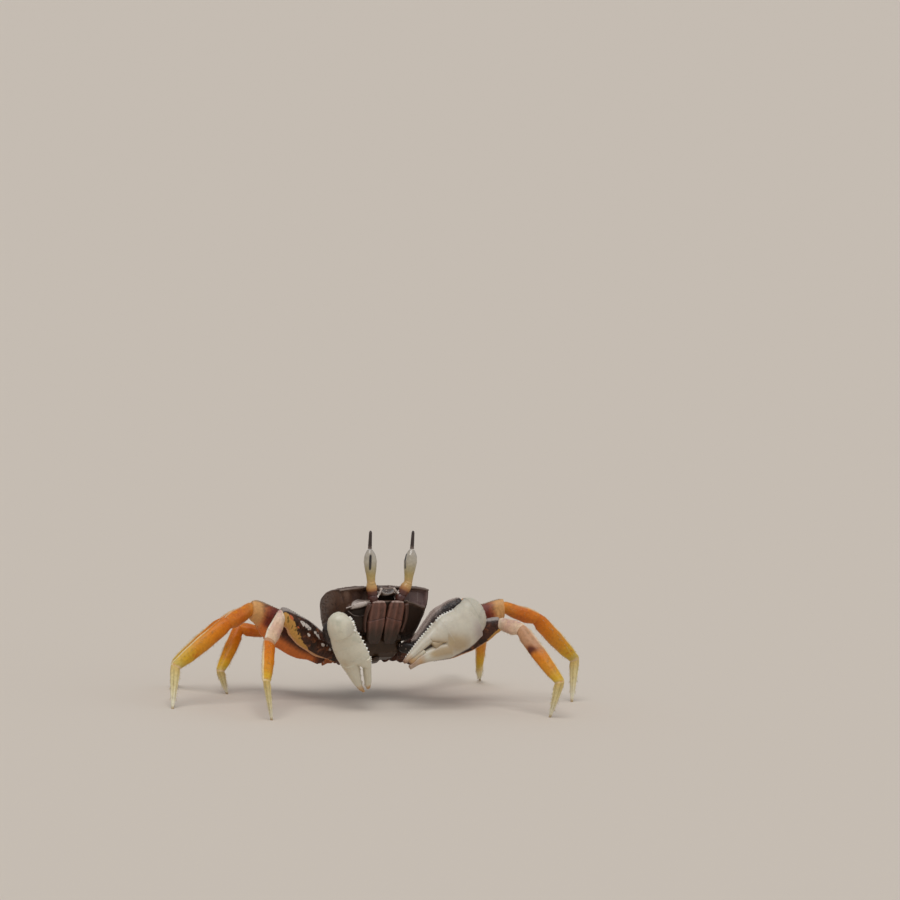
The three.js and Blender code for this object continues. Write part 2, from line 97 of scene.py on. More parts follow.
def curve(xs, ys, x):
    """A smooth curve through the points (xs, ys) that doesn't overshoot them."""
    xs, ys, x = np.asarray(xs, float), np.asarray(ys, float), np.asarray(x, float)
    step = np.diff(xs)
    slope = np.diff(ys) / step
    tangent = np.concatenate([slope[:1], np.zeros(len(xs) - 2), slope[-1:]])
    for k in range(1, len(xs) - 1):
        if slope[k - 1] * slope[k] > 0:
            tangent[k] = 2 * slope[k - 1] * slope[k] / (slope[k - 1] + slope[k])
    i = np.clip(np.searchsorted(xs, x) - 1, 0, len(step) - 1)
    h = step[i]
    t = np.clip((x - xs[i]) / h, 0, 1)
    return (ys[i] * (1 + 2 * t) * (1 - t) ** 2 + ys[i + 1] * t * t * (3 - 2 * t)
            + tangent[i] * h * t * (1 - t) ** 2 + tangent[i + 1] * h * t * t * (t - 1))


def curves(table, x):
    """The smooth curves through a table's second and later columns, over its first."""
    return [curve(table[:, 0], table[:, k], x) for k in range(1, table.shape[1])]


def ripple(x, y, size, seed, waves=5):
    """Gentle unevenness from a few crossed waves, about -1 to 1, for a pattern of that size."""
    rng = np.random.default_rng(seed)
    total = 0
    for way, phase, stretch in zip(rng.uniform(0, math.pi, waves), rng.uniform(0, ONE_TURN, waves),
                                   rng.uniform(0.7, 1.5, waves)):
        total = total + np.sin((x * math.cos(way) + y * math.sin(way)) * ONE_TURN / (size * stretch) + phase)
    return total / 3


def full_turn(count):
    """That many angles, evenly round a full turn."""
    return np.linspace(0, 2 * math.pi, count, endpoint=False)


def square_ways(directions):
    """Two ways square to each direction and to each other."""
    helper = np.where(np.abs(directions[:, 2:]) < 0.8, [[0, 0, 1.0]], [[1.0, 0, 0]])
    side = unit(np.cross(directions, helper))
    return side, np.cross(directions, side)


# ---------------------------------------------------------------- reading the solids

WELDS_PER_MM = 200  # corners in the same two-hundredth of a millimetre are one
FAN = 8  # at least so many triangles meet in the middle of a flat end
FLAT = 0.9999  # least cosine between the normals of a flat end
BENT_ROOT = 0.72  # root of a bent solid's straight run beside its first slice
BENT_START = 0.12  # where that slice lies, as a share of the length
CLEAR = 0.01  # slices keep this share of the length away from the ends' rims
ROUND_SECTION = 0.97  # a section so nearly round has no narrow way of its own


def corners_and_triangles(name):
    """A solid's corners in millimetres, each once, and its triangles."""
    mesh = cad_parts[name].data
    raw = np.empty(len(mesh.vertices) * 3, np.float32)
    mesh.vertices.foreach_get("co", raw)
    points = raw.reshape(-1, 3).astype(float) / MM
    _, first, index = np.unique(np.round(points * WELDS_PER_MM).astype(np.int64), axis=0,
                                return_index=True, return_inverse=True)
    mesh.calc_loop_triangles()
    triangles = index.ravel()[np.array([t.vertices[:] for t in mesh.loop_triangles])]
    return points[first], triangles


def face_normals(points, triangles):
    a, b, c = (points[triangles[:, i]] for i in range(3))
    return unit(np.cross(b - a, c - a))


def flat_ends(points, triangles):
    """The flat ends of a lofted solid, each as (centre, outward normal, rim corners)."""
    normals = face_normals(points, triangles)
    ends = []
    for k in range(len(points)):
        mine = np.any(triangles == k, axis=1)
        if mine.sum() >= FAN and (normals[mine] @ normals[mine][0]).min() > FLAT:
            rim = np.setdiff1d(triangles[mine].ravel(), [k])
            ends.append((points[k], normals[mine][0], points[rim]))
    return ends


def slice_points(points, triangles, origin, along):
    """Where the plane through origin, square to along, cuts the solid's edges."""
    depth = (points - origin) @ along
    edges = np.concatenate([triangles[:, [0, 1]], triangles[:, [1, 2]], triangles[:, [2, 0]]])
    a, b = depth[edges[:, 0]], depth[edges[:, 1]]
    cut = (a < 0) != (b < 0)
    share = (a[cut] / (a[cut] - b[cut]))[:, None]
    return points[edges[cut, 0]] * (1 - share) + points[edges[cut, 1]] * share


class Limb:
    """The straight run of one lofted solid: its axis, its broad and narrow ways, and its reach along it.

    bend says how a solid that turns away from its root is cut at the far end. broad is a hint for the
    wide way, which is otherwise upwards, and thin fixes the narrow way. squareness shapes the section
    of the skin: 2 is an ellipse, more is squarer, less is keeled.
    """

    def __init__(self, name, near, bend=None, broad=None, thin=None, stations=12, squareness=2.0):
        points, triangles = corners_and_triangles(name)
        ends = sorted(flat_ends(points, triangles), key=lambda e: np.linalg.norm(e[0] - near))
        (self.root, root_normal, root_rim), (self.end, self.end_normal, end_rim) = ends[0], ends[-1]
        self.squareness = squareness
        self.start, self.start_normal = self.root, root_normal
        if bend == "square":  # the far end is cut square, so its normal is the axis
            self.along = self.end_normal
            self.start = self.meeting(root_normal)
        elif bend == "mitred":  # the far end is cut aslant, so the axis comes from the slices
            self.along = unit(self.end - self.start)
            for _ in range(3):
                self.fit_axis(points, triangles)
                self.start = self.meeting(root_normal)
        self.along = unit(self.end - self.start)
        self.length = np.linalg.norm(self.end - self.start)
        self.set_ways(points, triangles, broad, thin, None if bend else root_rim)
        low = BENT_START
        if not bend:
            low = max(2 * CLEAR, ((root_rim - self.start) @ self.along).max() / self.length + CLEAR)
        high = min(1 - 2 * CLEAR, ((end_rim - self.start) @ self.along).min() / self.length - CLEAR)
        rows = []
        for share in np.linspace(low, high, stations):
            origin = self.start + self.along * self.length * share
            rows.append([share, *self.reaches(slice_points(points, triangles, origin, self.along) - origin)])
        if bend:
            self.start_normal = -self.along
            rows.insert(0, [0, *(np.array(rows[0][1:]) * BENT_ROOT)])
        else:
            rows.insert(0, [0, *self.reaches(root_rim - self.start)])
        rows.append([1, *self.reaches(end_rim - self.end)])
        self.table = np.array(rows)

    def meeting(self, root_normal):
        """The point of the axis closest to the line that leaves the root end squarely."""
        both = np.stack([-root_normal, -self.along], axis=1)
        reach = np.linalg.lstsq(both, self.end - self.root, rcond=None)[0]
        return self.end - self.along * abs(reach[1])

    def fit_axis(self, points, triangles):
        """Turns the axis so that it runs through the middles of two slices."""
        length = np.linalg.norm(self.end - self.root)
        middles = []
        for share in (0.35, 0.5):
            cut = slice_points(points, triangles, self.end - self.along * length * (1 - share), self.along)
            middles.append((cut.min(0) + cut.max(0)) / 2)
        self.along = unit(self.end - np.mean(middles, axis=0))

    def set_ways(self, points, triangles, broad, thin, rim):
        """Finds the narrow way from the rim, or with a broad hint from a slice near the root."""
        self.thin = unit(np.cross([0, 0, 1], self.along))
        if broad is not None:
            rim = slice_points(points, triangles, self.start + self.along * self.length * 0.3, self.along)
        if thin is not None:
            self.thin = unit(thin - self.along * (self.along @ thin))
        elif rim is not None:
            flat = rim - rim.mean(0)
            flat = flat - np.outer(flat @ self.along, self.along)
            _, spread, ways = np.linalg.svd(flat, full_matrices=False)
            if spread[1] < ROUND_SECTION * spread[0]:
                self.thin = unit(ways[1] - self.along * (ways[1] @ self.along))
        if self.thin @ [0, -1, 0] < 0:
            self.thin = -self.thin
        self.wide = np.cross(self.along, self.thin)
        hint = np.array([0, 0, 1.0]) if broad is None else np.asarray(broad, float)
        if self.wide @ hint < 0:
            self.wide = -self.wide

    def reaches(self, offsets):
        w, t = offsets @ self.wide, offsets @ self.thin
        return w.max(), -w.min(), t.max(), -t.min()

    def at(self, share):
        """Reach up, down, to the front and to the back at that share of the length."""
        return curves(self.table, share)

    def skin(self, share, angle, relief=0.0):
        """Points of the rounded skin, raised by relief. angle 0 faces front, a quarter turn is up."""
        share, angle = np.broadcast_arrays(np.asarray(share, float), np.asarray(angle, float))
        up, down, front, back = self.at(share)
        cos, sin = np.cos(angle), np.sin(angle)
        power = self.squareness
        round_out = (np.abs(cos) ** power + np.abs(sin) ** power) ** (-1 / power)
        half_w, half_t = (up + down) / 2, (front + back) / 2
        w = (up - down) / 2 + sin * round_out * half_w
        t = (front - back) / 2 + cos * round_out * half_t
        out_w, out_t = sin / np.maximum(half_w, 0.2), cos / np.maximum(half_t, 0.2)
        size = np.hypot(out_w, out_t)
        w = w + relief * out_w / size
        t = t + relief * out_t / size
        offset = w[..., None] * self.wide + t[..., None] * self.thin
        slide = 0
        for normal, near in ((self.start_normal, 1 - ease(0, 0.3, share)),
                             (self.end_normal, ease(0.7, 1, share))):
            slide = slide - near * (offset @ normal) / (self.along @ normal)
        return self.start + offset + (share * self.length + slide)[..., None] * self.along

    def outward(self, share, angle):
        """The ways that point squarely out of the skin."""
        up, down, front, back = self.at(share)
        return unit((np.sin(angle) / (up + down))[..., None] * self.wide
                    + (np.cos(angle) / (front + back))[..., None] * self.thin)


# ---------------------------------------------------------------- gathering meshes

# Rings of a bead and of a bristle: where along it, and how wide there.
BEAD_RINGS = ((-0.25, 1), (0.55, 0.78))
BRISTLE_RINGS = ((-0.1, 1.0), (0.35, 0.85), (0.7, 0.55))
BRISTLE_DROOP = 0.25  # sag of the tip, as a share of the length
# Rows that finish a limb's end: share of the ring's size, and millimetres beyond the end.
END_ROWS = {
    "dome": [(0.97, 0.1), (0.88, 0.24), (0.66, 0.38), (0.3, 0.46)],
    "rim": [(0.985, 0.1), (0.93, 0.22), (0.8, 0.34), (0.4, 0.42)],
    "point": [(0.8, 0.05), (0.4, 0.1)],
    "flat": [(0.9, 0.0)],
}


def grid_faces(rows, columns, wrap):
    """The four-sided faces of a grid of points, wrapped round if it is a tube."""
    index = np.arange(rows * columns).reshape(rows, columns)
    if wrap:
        index = np.concatenate([index, index[:, :1]], axis=1)
    corners = [index[:-1, :-1], index[:-1, 1:], index[1:, 1:], index[1:, :-1]]
    return index, np.stack(corners, axis=-1).reshape(-1, 4)


class Shape:
    """Points, faces and per-point values that become one piece."""

    def __init__(self):
        self.points, self.faces, self.values, self.patches, self.count = [], [], [], [], 0

    def add(self, points, faces, patch=None, **values):
        points = np.asarray(points, float).reshape(-1, 3)
        for block in faces:
            self.faces.append(np.asarray(block, int) + self.count)
        self.points.append(points)
        self.values.append({k: np.broadcast_to(np.asarray(v, float).ravel() if np.ndim(v) else v, len(points))
                            for k, v in values.items()})
        if patch is not None:
            self.patches.append(patch)
        self.count += len(points)

    def sheet(self, points, flip=False, **values):
        """A grid of points, rows by columns; flip turns its other face outwards."""
        _, quads = grid_faces(*points.shape[:2], wrap=False)
        values = {key: value + np.zeros(points.shape[:2]) for key, value in values.items()}
        self.add(points, [quads[:, [0, 3, 2, 1]] if flip else quads], **values)

    def tube(self, points, **values):
        """A tube of rings, closed at both ends, turned so that its skin faces outwards."""
        rows, columns = points.shape[:2]
        index, quads = grid_faces(rows, columns, wrap=True)
        first, last = rows * columns, rows * columns + 1
        fans = np.concatenate([
            np.stack([np.full(columns, first), index[0, 1:], index[0, :-1]], -1),
            np.stack([np.full(columns, last), index[-1, :-1], index[-1, 1:]], -1)])
        everything = np.concatenate([points.reshape(-1, 3), points[:1].mean(1), points[-1:].mean(1)])
        p = everything - everything.mean(0)
        volume = np.einsum("ij,ij->i", p[quads[:, 0]], np.cross(p[quads[:, 1]], p[quads[:, 2]])).sum()
        if volume < 0:
            quads, fans = quads[:, ::-1], fans[:, ::-1]
        full = {}
        for key, value in values.items():
            value = np.broadcast_to(np.asarray(value, float), points.shape[:2])
            full[key] = np.concatenate([value.ravel(), [value[0].mean()], [value[-1].mean()]])
        self.add(everything, [quads, fans], **full)

    def spikes(self, centres, radii, tips, directions, sides, patches=None, **values):
        """Many small cones at once: a ring round each of a cone's centres, and its tip."""
        count, rings = len(tips), len(centres)
        side, other = square_ways(directions)
        turn = full_turn(sides)
        circle = np.cos(turn)[None, :, None] * side[:, None] + np.sin(turn)[None, :, None] * other[:, None]
        points = [centre[:, None] + np.broadcast_to(radius, count)[:, None, None] * circle
                  for centre, radius in zip(centres, radii)]
        points = np.concatenate(points + [tips[:, None]], axis=1)
        k = np.arange(sides)
        k2 = (k + 1) % sides
        size = rings * sides + 1
        base = (np.arange(count) * size)[:, None, None]
        quads = np.concatenate([np.stack([k, k2, k2 + sides, k + sides], -1) + row * sides
                                for row in range(rings - 1)])
        last = (rings - 1) * sides
        fans = np.stack([k + last, k2 + last, np.full(sides, size - 1)], -1)
        values = {key: np.repeat(np.broadcast_to(v, count), size) for key, v in values.items()}
        self.add(points, [(base + quads[None]).reshape(-1, 4), (base + fans[None]).reshape(-1, 3)],
                 patch=None if patches is None else np.repeat(patches, size, axis=0), **values)

    def beads(self, spots, normals, radii, heights=None, **values):
        """Small domes standing on the skin."""
        spots, normals = spots.reshape(-1, 3), unit(normals.reshape(-1, 3))
        radii = np.broadcast_to(radii, len(spots))
        heights = radii if heights is None else np.broadcast_to(heights, len(spots))
        centres = [spots + normals * (rise * heights)[:, None] for rise, _ in BEAD_RINGS]
        self.spikes(centres, [width * radii for _, width in BEAD_RINGS], spots + normals * heights[:, None],
                    normals, 6, **values)

    def bristles(self, roots, directions, lengths, radius, patches, **values):
        """Tapered hairs with a slight bend; each keeps the place of its root for its map patch."""
        directions = unit(directions)

        def along(share):
            sag = (BRISTLE_DROOP * lengths * max(share, 0) ** 2)[:, None]
            return roots + directions * (lengths * share)[:, None] - [0, 0, 1] * sag

        self.spikes([along(share) for share, _ in BRISTLE_RINGS],
                    [radius * width for _, width in BRISTLE_RINGS],
                    along(1.0), directions, 3, patches, **values)

    def ball(self, centre, axes, radii, rows=18, columns=28, **values):
        lift = np.linspace(DOWN, UP, rows)[1:-1, None]
        turn = full_turn(columns)[None]
        axes = np.asarray(axes, float)
        points = (np.asarray(centre, float)
                  + (np.cos(lift) * np.cos(turn))[..., None] * axes[0] * radii[0]
                  + (np.cos(lift) * np.sin(turn))[..., None] * axes[1] * radii[1]
                  + (np.sin(lift) * np.ones_like(turn))[..., None] * axes[2] * radii[2])
        self.tube(points, **values)

    def fill(self, mesh):
        """Gives a mesh its points, faces, values and map patches."""
        points = (np.concatenate(self.points) * MM).astype(np.float32)
        fours, threes = (np.concatenate([np.zeros((0, n), int)] + [f for f in self.faces if f.shape[1] == n])
                         for n in (4, 3))
        loops = np.concatenate([fours.ravel(), threes.ravel()]).astype(np.int32)
        starts = np.concatenate([np.arange(len(fours)) * 4, len(fours) * 4 + np.arange(len(threes)) * 3])
        mesh.vertices.add(len(points))
        mesh.vertices.foreach_set("co", points.ravel())
        mesh.loops.add(len(loops))
        mesh.loops.foreach_set("vertex_index", loops)
        mesh.polygons.add(len(starts))
        mesh.polygons.foreach_set("loop_start", starts.astype(np.int32))
        mesh.polygons.foreach_set("use_smooth", np.ones(len(starts), bool))
        mesh.update(calc_edges=True)
        for key in sorted({k for v in self.values for k in v}):
            data = np.concatenate([v.get(key, np.zeros(len(p))) for v, p in zip(self.values, self.points)])
            mesh.attributes.new(key, "FLOAT", "POINT").data.foreach_set("value", data.astype(np.float32))
        if self.patches:
            layer = mesh.uv_layers.new(name="OFBake")
            layer.data.foreach_set("uv", np.concatenate(self.patches)[loops].astype(np.float32).ravel())

    def piece(self, name, material, slot, replaces=()):
        """Makes the mesh object, lets it ride on the crab's one body, and hides the solids it replaces."""
        if not self.count:
            raise RuntimeError(f"{name} has no points")
        mesh = bpy.data.meshes.new(name)
        self.fill(mesh)
        mesh.materials.append(material)
        piece = bpy.data.objects.new(name, mesh)
        bpy.context.scene.collection.objects.link(piece)
        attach(piece, "root")
        if replaces:
            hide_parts(*replaces)


def limb_ring(ring, normal, size, push):
    middle = ring.mean(0)
    return middle + (ring - middle) * size + normal * push


def limb_tube(shape, limb, rows, sides, relief, near_end="dome", far_end="rim", **values):
    """The skin of a limb with its two ends finished. Each value is a number or made from share and angle."""
    share = np.linspace(0, 1, rows)[:, None]
    angle = full_turn(sides)[None, :]
    body = limb.skin(share, angle, relief(share, angle))
    before = [limb_ring(body[0], limb.start_normal, *row) for row in reversed(END_ROWS[near_end])]
    after = [limb_ring(body[-1], limb.end_normal, *row) for row in END_ROWS[far_end]]
    points = np.concatenate([np.array(before), body, np.array(after)])
    reach = np.concatenate([np.zeros((len(before), 1)), share, np.ones((len(after), 1))])
    wide = {"reach": reach}
    for key, value in values.items():
        wide[key] = value(reach, angle) if callable(value) else value
    shape.tube(points, **wide)


def limb_beads(shape, limb, share, angle, lift, radii, heights=None, **values):
    """Beads that stand squarely on a limb's skin, lifted by its relief."""
    share, angle = np.broadcast_arrays(share, angle)
    shape.beads(limb.skin(share, angle, lift), limb.outward(share, angle), radii, heights, **values)


def rope(shape, route, radii, **values):
    """A round tube along a route of points, thinner or thicker as radii say."""
    ahead = unit(np.gradient(route, axis=0))
    across = unit(np.cross(ahead, [0, 0.3, 1.0]))
    other = np.cross(ahead, across)
    turn = full_turn(14)[None, :, None]
    circle = np.cos(turn) * across[:, None] + np.sin(turn) * other[:, None]
    shape.tube(route[:, None] + np.broadcast_to(radii, len(route))[:, None, None] * circle, **values)


# ---------------------------------------------------------------- materials

WAVER_SIZE = 3.5  # millimetres; a slow noise that makes colours' borders uneven
WAVER_ALONG = 0.09  # how far it moves colours along a piece, as a share of the piece
WAVER_VALUE = 0.3  # how far it moves a value's border, as a share of its width
FINE_SIZE = 0.9  # millimetres; a fine noise in the colour's depth and the gloss
FINE_RANGE = (0.3, 0.7)  # where most of that noise lies


def node(tree, kind, settings=None, links=None, **properties):
    """Adds one node with its properties, its input values and the sockets that feed it."""
    made = tree.nodes.new(kind)
    for key, value in properties.items():
        setattr(made, key, value)
    for key, value in (settings or {}).items():
        made.inputs[key].default_value = value
    for key, socket in (links or {}).items():
        tree.links.new(socket, made.inputs[key])
    return made


def ramp(tree, source, stops):
    """Colours laid along a value: stops are (place, colour)."""
    made = node(tree, "ShaderNodeValToRGB", links={"Fac": source})
    made.color_ramp.interpolation = "EASE"
    elements = made.color_ramp.elements
    while len(elements) < len(stops):
        elements.new(0.5)
    for element, (place, colour) in zip(elements, stops):
        element.position = place
        element.color = (*linear(colour), 1)
    return made.outputs["Color"]


def between(tree, source, start, stop, **properties):
    """A value stretched from one range to another, 0 to 1 unless stop says otherwise."""
    settings = {"From Min": start[0], "From Max": start[1], "To Min": stop[0], "To Max": stop[1]}
    return node(tree, "ShaderNodeMapRange", settings, {"Value": source}, **properties).outputs["Result"]


def noise(tree, place, size, **settings):
    """Noise with a pattern of so many millimetres."""
    settings["Scale"] = 1 / (size * MM)
    return node(tree, "ShaderNodeTexNoise", settings, {"Vector": place}).outputs["Fac"]


def layer_mask(tree, place, waver, kind, details):
    """Where one layer of a cuticle shows."""
    if kind == "spots":
        size, share = details
        cells = node(tree, "ShaderNodeTexVoronoi", {"Scale": 1 / (size * MM), "Randomness": 1.0},
                     {"Vector": place})
        patchy = noise(tree, place, size * 4)
        edge = node(tree, "ShaderNodeMath", {1: share}, {0: patchy}, operation="MULTIPLY")
        return node(tree, "ShaderNodeMath", links={0: cells.outputs["Distance"], 1: edge.outputs[0]},
                    operation="LESS_THAN").outputs[0]
    start, low, high = details
    if kind == "clouds":
        field = noise(tree, place, start, Detail=5.0, Roughness=0.6)
    else:
        value = node(tree, "ShaderNodeAttribute", attribute_name=start).outputs["Fac"]
        field = node(tree, "ShaderNodeMath", {1: WAVER_VALUE * abs(high - low)}, {0: waver, 2: value},
                     operation="MULTIPLY_ADD").outputs[0]
    return between(tree, field, (low, high), (0, 1), interpolation_type="SMOOTHSTEP")


def cuticle(name, stops, layers=(), grain=0.5, relief=0.25, roughness=(0.34, 0.5), coat=0.12,
            coat_roughness=0.3, soft=0.0, shine=0.5, tone=0.12):
    """Crab shell is chitin hardened with lime: hard and waxy, with a fine pebbled grain.

    stops colour it along its "reach"; each layer lays a colour over it through a mask:
    ("spots", size in mm, share of the cells, colour), ("clouds", size in mm, low, high, colour),
    or ("value", attribute, low, high, colour).
    """
    material = bpy.data.materials.new(name)
    material.use_nodes = True
    tree = material.node_tree
    tree.nodes.clear()
    place = node(tree, "ShaderNodeTexCoord").outputs["Object"]
    reach = node(tree, "ShaderNodeAttribute", attribute_name="reach").outputs["Fac"]
    waver = noise(tree, place, WAVER_SIZE, Detail=3.0)
    shifted = node(tree, "ShaderNodeMath", {1: WAVER_ALONG}, {0: waver, 2: reach}, operation="MULTIPLY_ADD")
    settled = node(tree, "ShaderNodeMath", {1: WAVER_ALONG / 2}, {0: shifted.outputs[0]},
                   operation="SUBTRACT")
    colour = ramp(tree, settled.outputs[0], stops)
    for kind, *details, tint in layers:
        mask = layer_mask(tree, place, waver, kind, details)
        mixed = node(tree, "ShaderNodeMix", {7: (*linear(tint), 1)}, {0: mask, 6: colour}, data_type="RGBA")
        colour = mixed.outputs[2]
    fine = noise(tree, place, FINE_SIZE, Detail=6.0)
    depth = between(tree, fine, FINE_RANGE, (1 - tone, 1 + tone))
    shade = node(tree, "ShaderNodeHueSaturation", links={"Color": colour, "Value": depth})
    # Small rounded pebbles stand up all over, and the gloss changes a little from place to place.
    pebbles = node(tree, "ShaderNodeTexVoronoi", {"Scale": 1 / (grain * MM)}, {"Vector": place},
                   feature="SMOOTH_F1")
    rise = node(tree, "ShaderNodeMath", {1: -1.0}, {0: pebbles.outputs["Distance"]}, operation="MULTIPLY")
    bump = node(tree, "ShaderNodeBump", {"Strength": relief, "Distance": grain * MM * 0.6},
                {"Height": rise.outputs[0]})
    shader = node(tree, "ShaderNodeBsdfPrincipled",
                  {"IOR": 1.54, "Specular IOR Level": shine, "Coat Weight": coat,
                   "Coat Roughness": coat_roughness, "Subsurface Weight": soft,
                   "Subsurface Radius": (1.0, 0.6, 0.4), "Subsurface Scale": 0.8 * MM},
                  {"Base Color": shade.outputs["Color"], "Normal": bump.outputs["Normal"],
                   "Roughness": between(tree, fine, FINE_RANGE, roughness)})
    node(tree, "ShaderNodeOutputMaterial", links={"Surface": shader.outputs["BSDF"]})
    return material


# ---------------------------------------------------------------- sizes and colours that can be changed

def colour_setting(label, about, code):
    return FloatVectorProperty(name=label, description=about, subtype="COLOR", size=3, min=0, max=1,
                               default=linear(code))


def length_setting(label, about, millimetres):
    return FloatProperty(name=label, description=about, subtype="DISTANCE", unit="LENGTH",
                         default=millimetres * MM, min=0)


def angle_setting(label, about, degrees):
    return FloatProperty(name=label, description=about, subtype="ANGLE", unit="ROTATION",
                         default=math.radians(degrees))


class ShellSettings(bpy.types.PropertyGroup):
    """The shell, mouth and eyes."""
    body_pitch: angle_setting("Body pitch", "How far the front of the shell is raised", 20)
    socket_depth: length_setting("Socket depth", "How far the eye sockets are hollowed into the shell", 3.4)
    lip: length_setting("Shell lip", "Thickness of the shell's front edge", 0.7)
    dark: colour_setting("Shell", "Main colour of the shell", "#523727")
    darkest: colour_setting("Shadowed shell", "Colour of the walls under the sockets", "#2a1b11")
    lilac: colour_setting("Socket lining", "Colour of the smooth eye sockets", "#79635f")
    # This colour also paints the highlights on the leaf and the arc over the right cheek.
    rim: colour_setting("Pale rims", "Colour of the socket margins and the front lobe's edge", "#cdc0b7")
    mouth: colour_setting("Mouth plates", "Main colour of the ribbed mouth plates", "#643f33")
    stalk: colour_setting("Eyestalks", "Main colour of the stalks above their dark bases", "#bd8f55")
    cornea: colour_setting("Corneas", "Colour of the eyes", "#b3a995")
    horn: colour_setting("Eye horns", "Colour of the horns above the eyes", "#35261f")


class LegSettings(bpy.types.PropertyGroup):
    """The eight walking legs."""
    merus: colour_setting("Front meri", "Colour of the front pair's broad inner pieces", "#452618")
    orange: colour_setting("Orange", "Colour of the wrists and upper shins", "#da7e0e")
    gold: colour_setting("Gold", "Colour of the lower shins", "#d68c1e")
    # The wrists' pale edges painted in this colour are painted highlight.
    cream: colour_setting("Cream", "Colour of the shins' far ends and the wrists' pale edges", "#e0c294")
    tip: colour_setting("Toes", "Colour of the toes", "#e2d29a")
    bristle_length: length_setting("Bristle length", "Length of the bristles on the legs, about", 1.1)
    bristles: IntProperty(name="Bristles", description="Bristles on each shin", default=150, min=0)


class ClawSettings(bpy.types.PropertyGroup):
    """The two claws and their arms."""
    ivory: colour_setting("Ivory", "Main colour of the claws", "#d6cfba")
    beige: colour_setting("Beige", "Colour of the claws' lower halves", "#b9a073")
    tips: colour_setting("Finger tips", "Colour of the worn finger tips", "#8a5526")
    arm: colour_setting("Arms", "Colour of the arms", "#33231f")
    arm_edge: colour_setting("Arm edges", "Colour of the arms' serrated upper edges", "#a8968d")
    granule: length_setting("Granules", "The palms' widest granules are about three quarters of this", 0.55)


class StageSettings(bpy.types.PropertyGroup):
    """Floor, light and camera."""
    floor: colour_setting("Floor", "Colour of the plain floor", "#d8cdc0")
    sky: colour_setting("Room colour", "Colour of the even light in the room", "#eef0f4")
    room: FloatProperty(name="Room light", description="Strength of the even light", default=0.46, min=0)
    key: FloatProperty(name="Main light", description="Strength of the soft main light", default=1.36, min=0)
    azimuth: angle_setting("Camera azimuth", "Camera's turn towards the crab's right", 24.5)
    elevation: angle_setting("Camera elevation", "Camera's height above level", 9.5)
    roll: angle_setting("Camera roll", "Camera's tilt", 3.5)
    distance: FloatProperty(name="Camera distance", description="From the crab to the camera",
                            subtype="DISTANCE", unit="LENGTH", default=1.9455, min=0.1)


# ---------------------------------------------------------------- shell

FRONT_ROW, REAR = 12.6, -17.0  # how far forward the back's last and first rows lie
HALF_FRONT = 18.9  # from the middle to a front corner
WALL_FOOT = -7.8  # height of the lower end of the front
SHARPNESS = 3.4  # how flat the back is in the middle and how steep at its edges
SIDE_SHARE, REAR_SHARE = 0.82, 0.18  # of each half of the walls: along the side, across the rear
# Shell outline from rear to front: forward, half width as a share, edge height, crown height.
SHELL_OUTLINE = np.array([
    [-17, 0.48, 2.6, 3.6], [-15.6, 0.62, 3.4, 5.4], [-12.5, 0.78, 4.8, 7.6], [-8, 0.91, 6.8, 9.6],
    [-2, 0.985, 8.5, 10.8], [4, 1, 9.4, 11], [7.5, 0.99, 9.4, 10.8], [10, 0.97, 9.1, 10.4],
    [12.6, 0.945, 8.7, 9.9]])
# Front margin of the shell: distance from the middle, forward.
FRONT_MARGIN = np.array([
    [0, 15.7], [2.3, 15.75], [3.4, 15.0], [4.6, 13.3], [6.5, 12.7], [8.3, 13.2], [9.7, 14.1], [12, 14.5],
    [15, 14.1], [17.4, 13.4], [18.9, 12.6]])
# Lower outline of the walls, from the front corner round to the middle of the rear: sideways, forward, up.
LOWER_OUTLINE = np.array([
    [0, 13.6, 5.2, -7.8], [0.12, 15.6, 1.5, -7.9], [0.35, 16, -4, -8], [0.6, 14.8, -9.5, -7.8],
    [0.78, 12.2, -13.6, -6.6], [0.9, 7.5, -15.6, -5], [1, 0, -16, -4.4]])
# Front of the walls under the sockets: up, forward.
FRONT_WALL = np.array([
    [-8, 5.2], [-7.6, 5.6], [-5.2, 7.8], [-1.8, 10.3], [2.2, 12.7], [4.2, 13.5], [9.5, 13.6]])
# Lower margin of the sockets: distance from the middle, up.
SOCKET_MARGIN = np.array([[0, 4.2], [6, 3.9], [10.6, 3.2], [14, 2.2], [16, 1.6], [19, 0.9]])
# The upright edge between front and side: up, distance from the middle.
CORNER = np.array([[-7.8, 13.6], [-3.06, 16.3], [0.1, 17.1], [4.5, 18.2], [8.0, 18.9]])
# The pale leaf under the crab's right eye: distance from the middle, height of its middle, half its height.
LEAF = np.array([
    [3.4, 4.0, 0.4], [6, 3.8, 1.1], [9, 3.5, 1.7], [11, 3.3, 2.0], [13, 2.7, 1.7], [15, 1.6, 0.7]])
# The ridge that runs in an arc over the right cheek: distance from the middle, up.
ARC = np.array([[4.6, 2.6], [5.2, 2.1], [6.6, 0.28], [9.2, -1.41], [12.2, -1.24], [15.5, 0.35]])


class Trunk:
    """The shell's own frame, found from its solid: sideways, forward, up from its middle, in millimetres."""
    LENGTH, DEPTH, LOW = 32.6, 19.0, -8.0

    def __init__(self, pitch):
        points, _ = corners_and_triangles("carapace")
        c, s = math.cos(pitch), math.sin(pitch)
        # The rows are the trunk's sideways, forward and up.
        self.axes = np.array([[1, 0, 0], [0, -c, s], [0, s, c]])
        local = points @ self.axes.T
        low, high = local.min(0), local.max(0)
        self.half = (high[0] - low[0]) / 2
        self.long = (high[1] - low[1]) / self.LENGTH
        self.deep = (high[2] - low[2]) / self.DEPTH
        self.middle = np.array([(low[0] + high[0]) / 2, low[1] - REAR * self.long,
                                low[2] - self.LOW * self.deep])

    def place(self, x, f, z):
        local = np.stack(np.broadcast_arrays(x, f * self.long, z * self.deep), axis=-1) + self.middle
        return local @ self.axes

    def direction(self, x, f, z):
        return np.stack(np.broadcast_arrays(x, f, z), axis=-1).astype(float) @ self.axes


def both_sides(first, last, count):
    """Distances from the middle, to the crab's left and then to its right."""
    return np.concatenate([np.linspace(first, last, count) * s for s in (1, -1)])


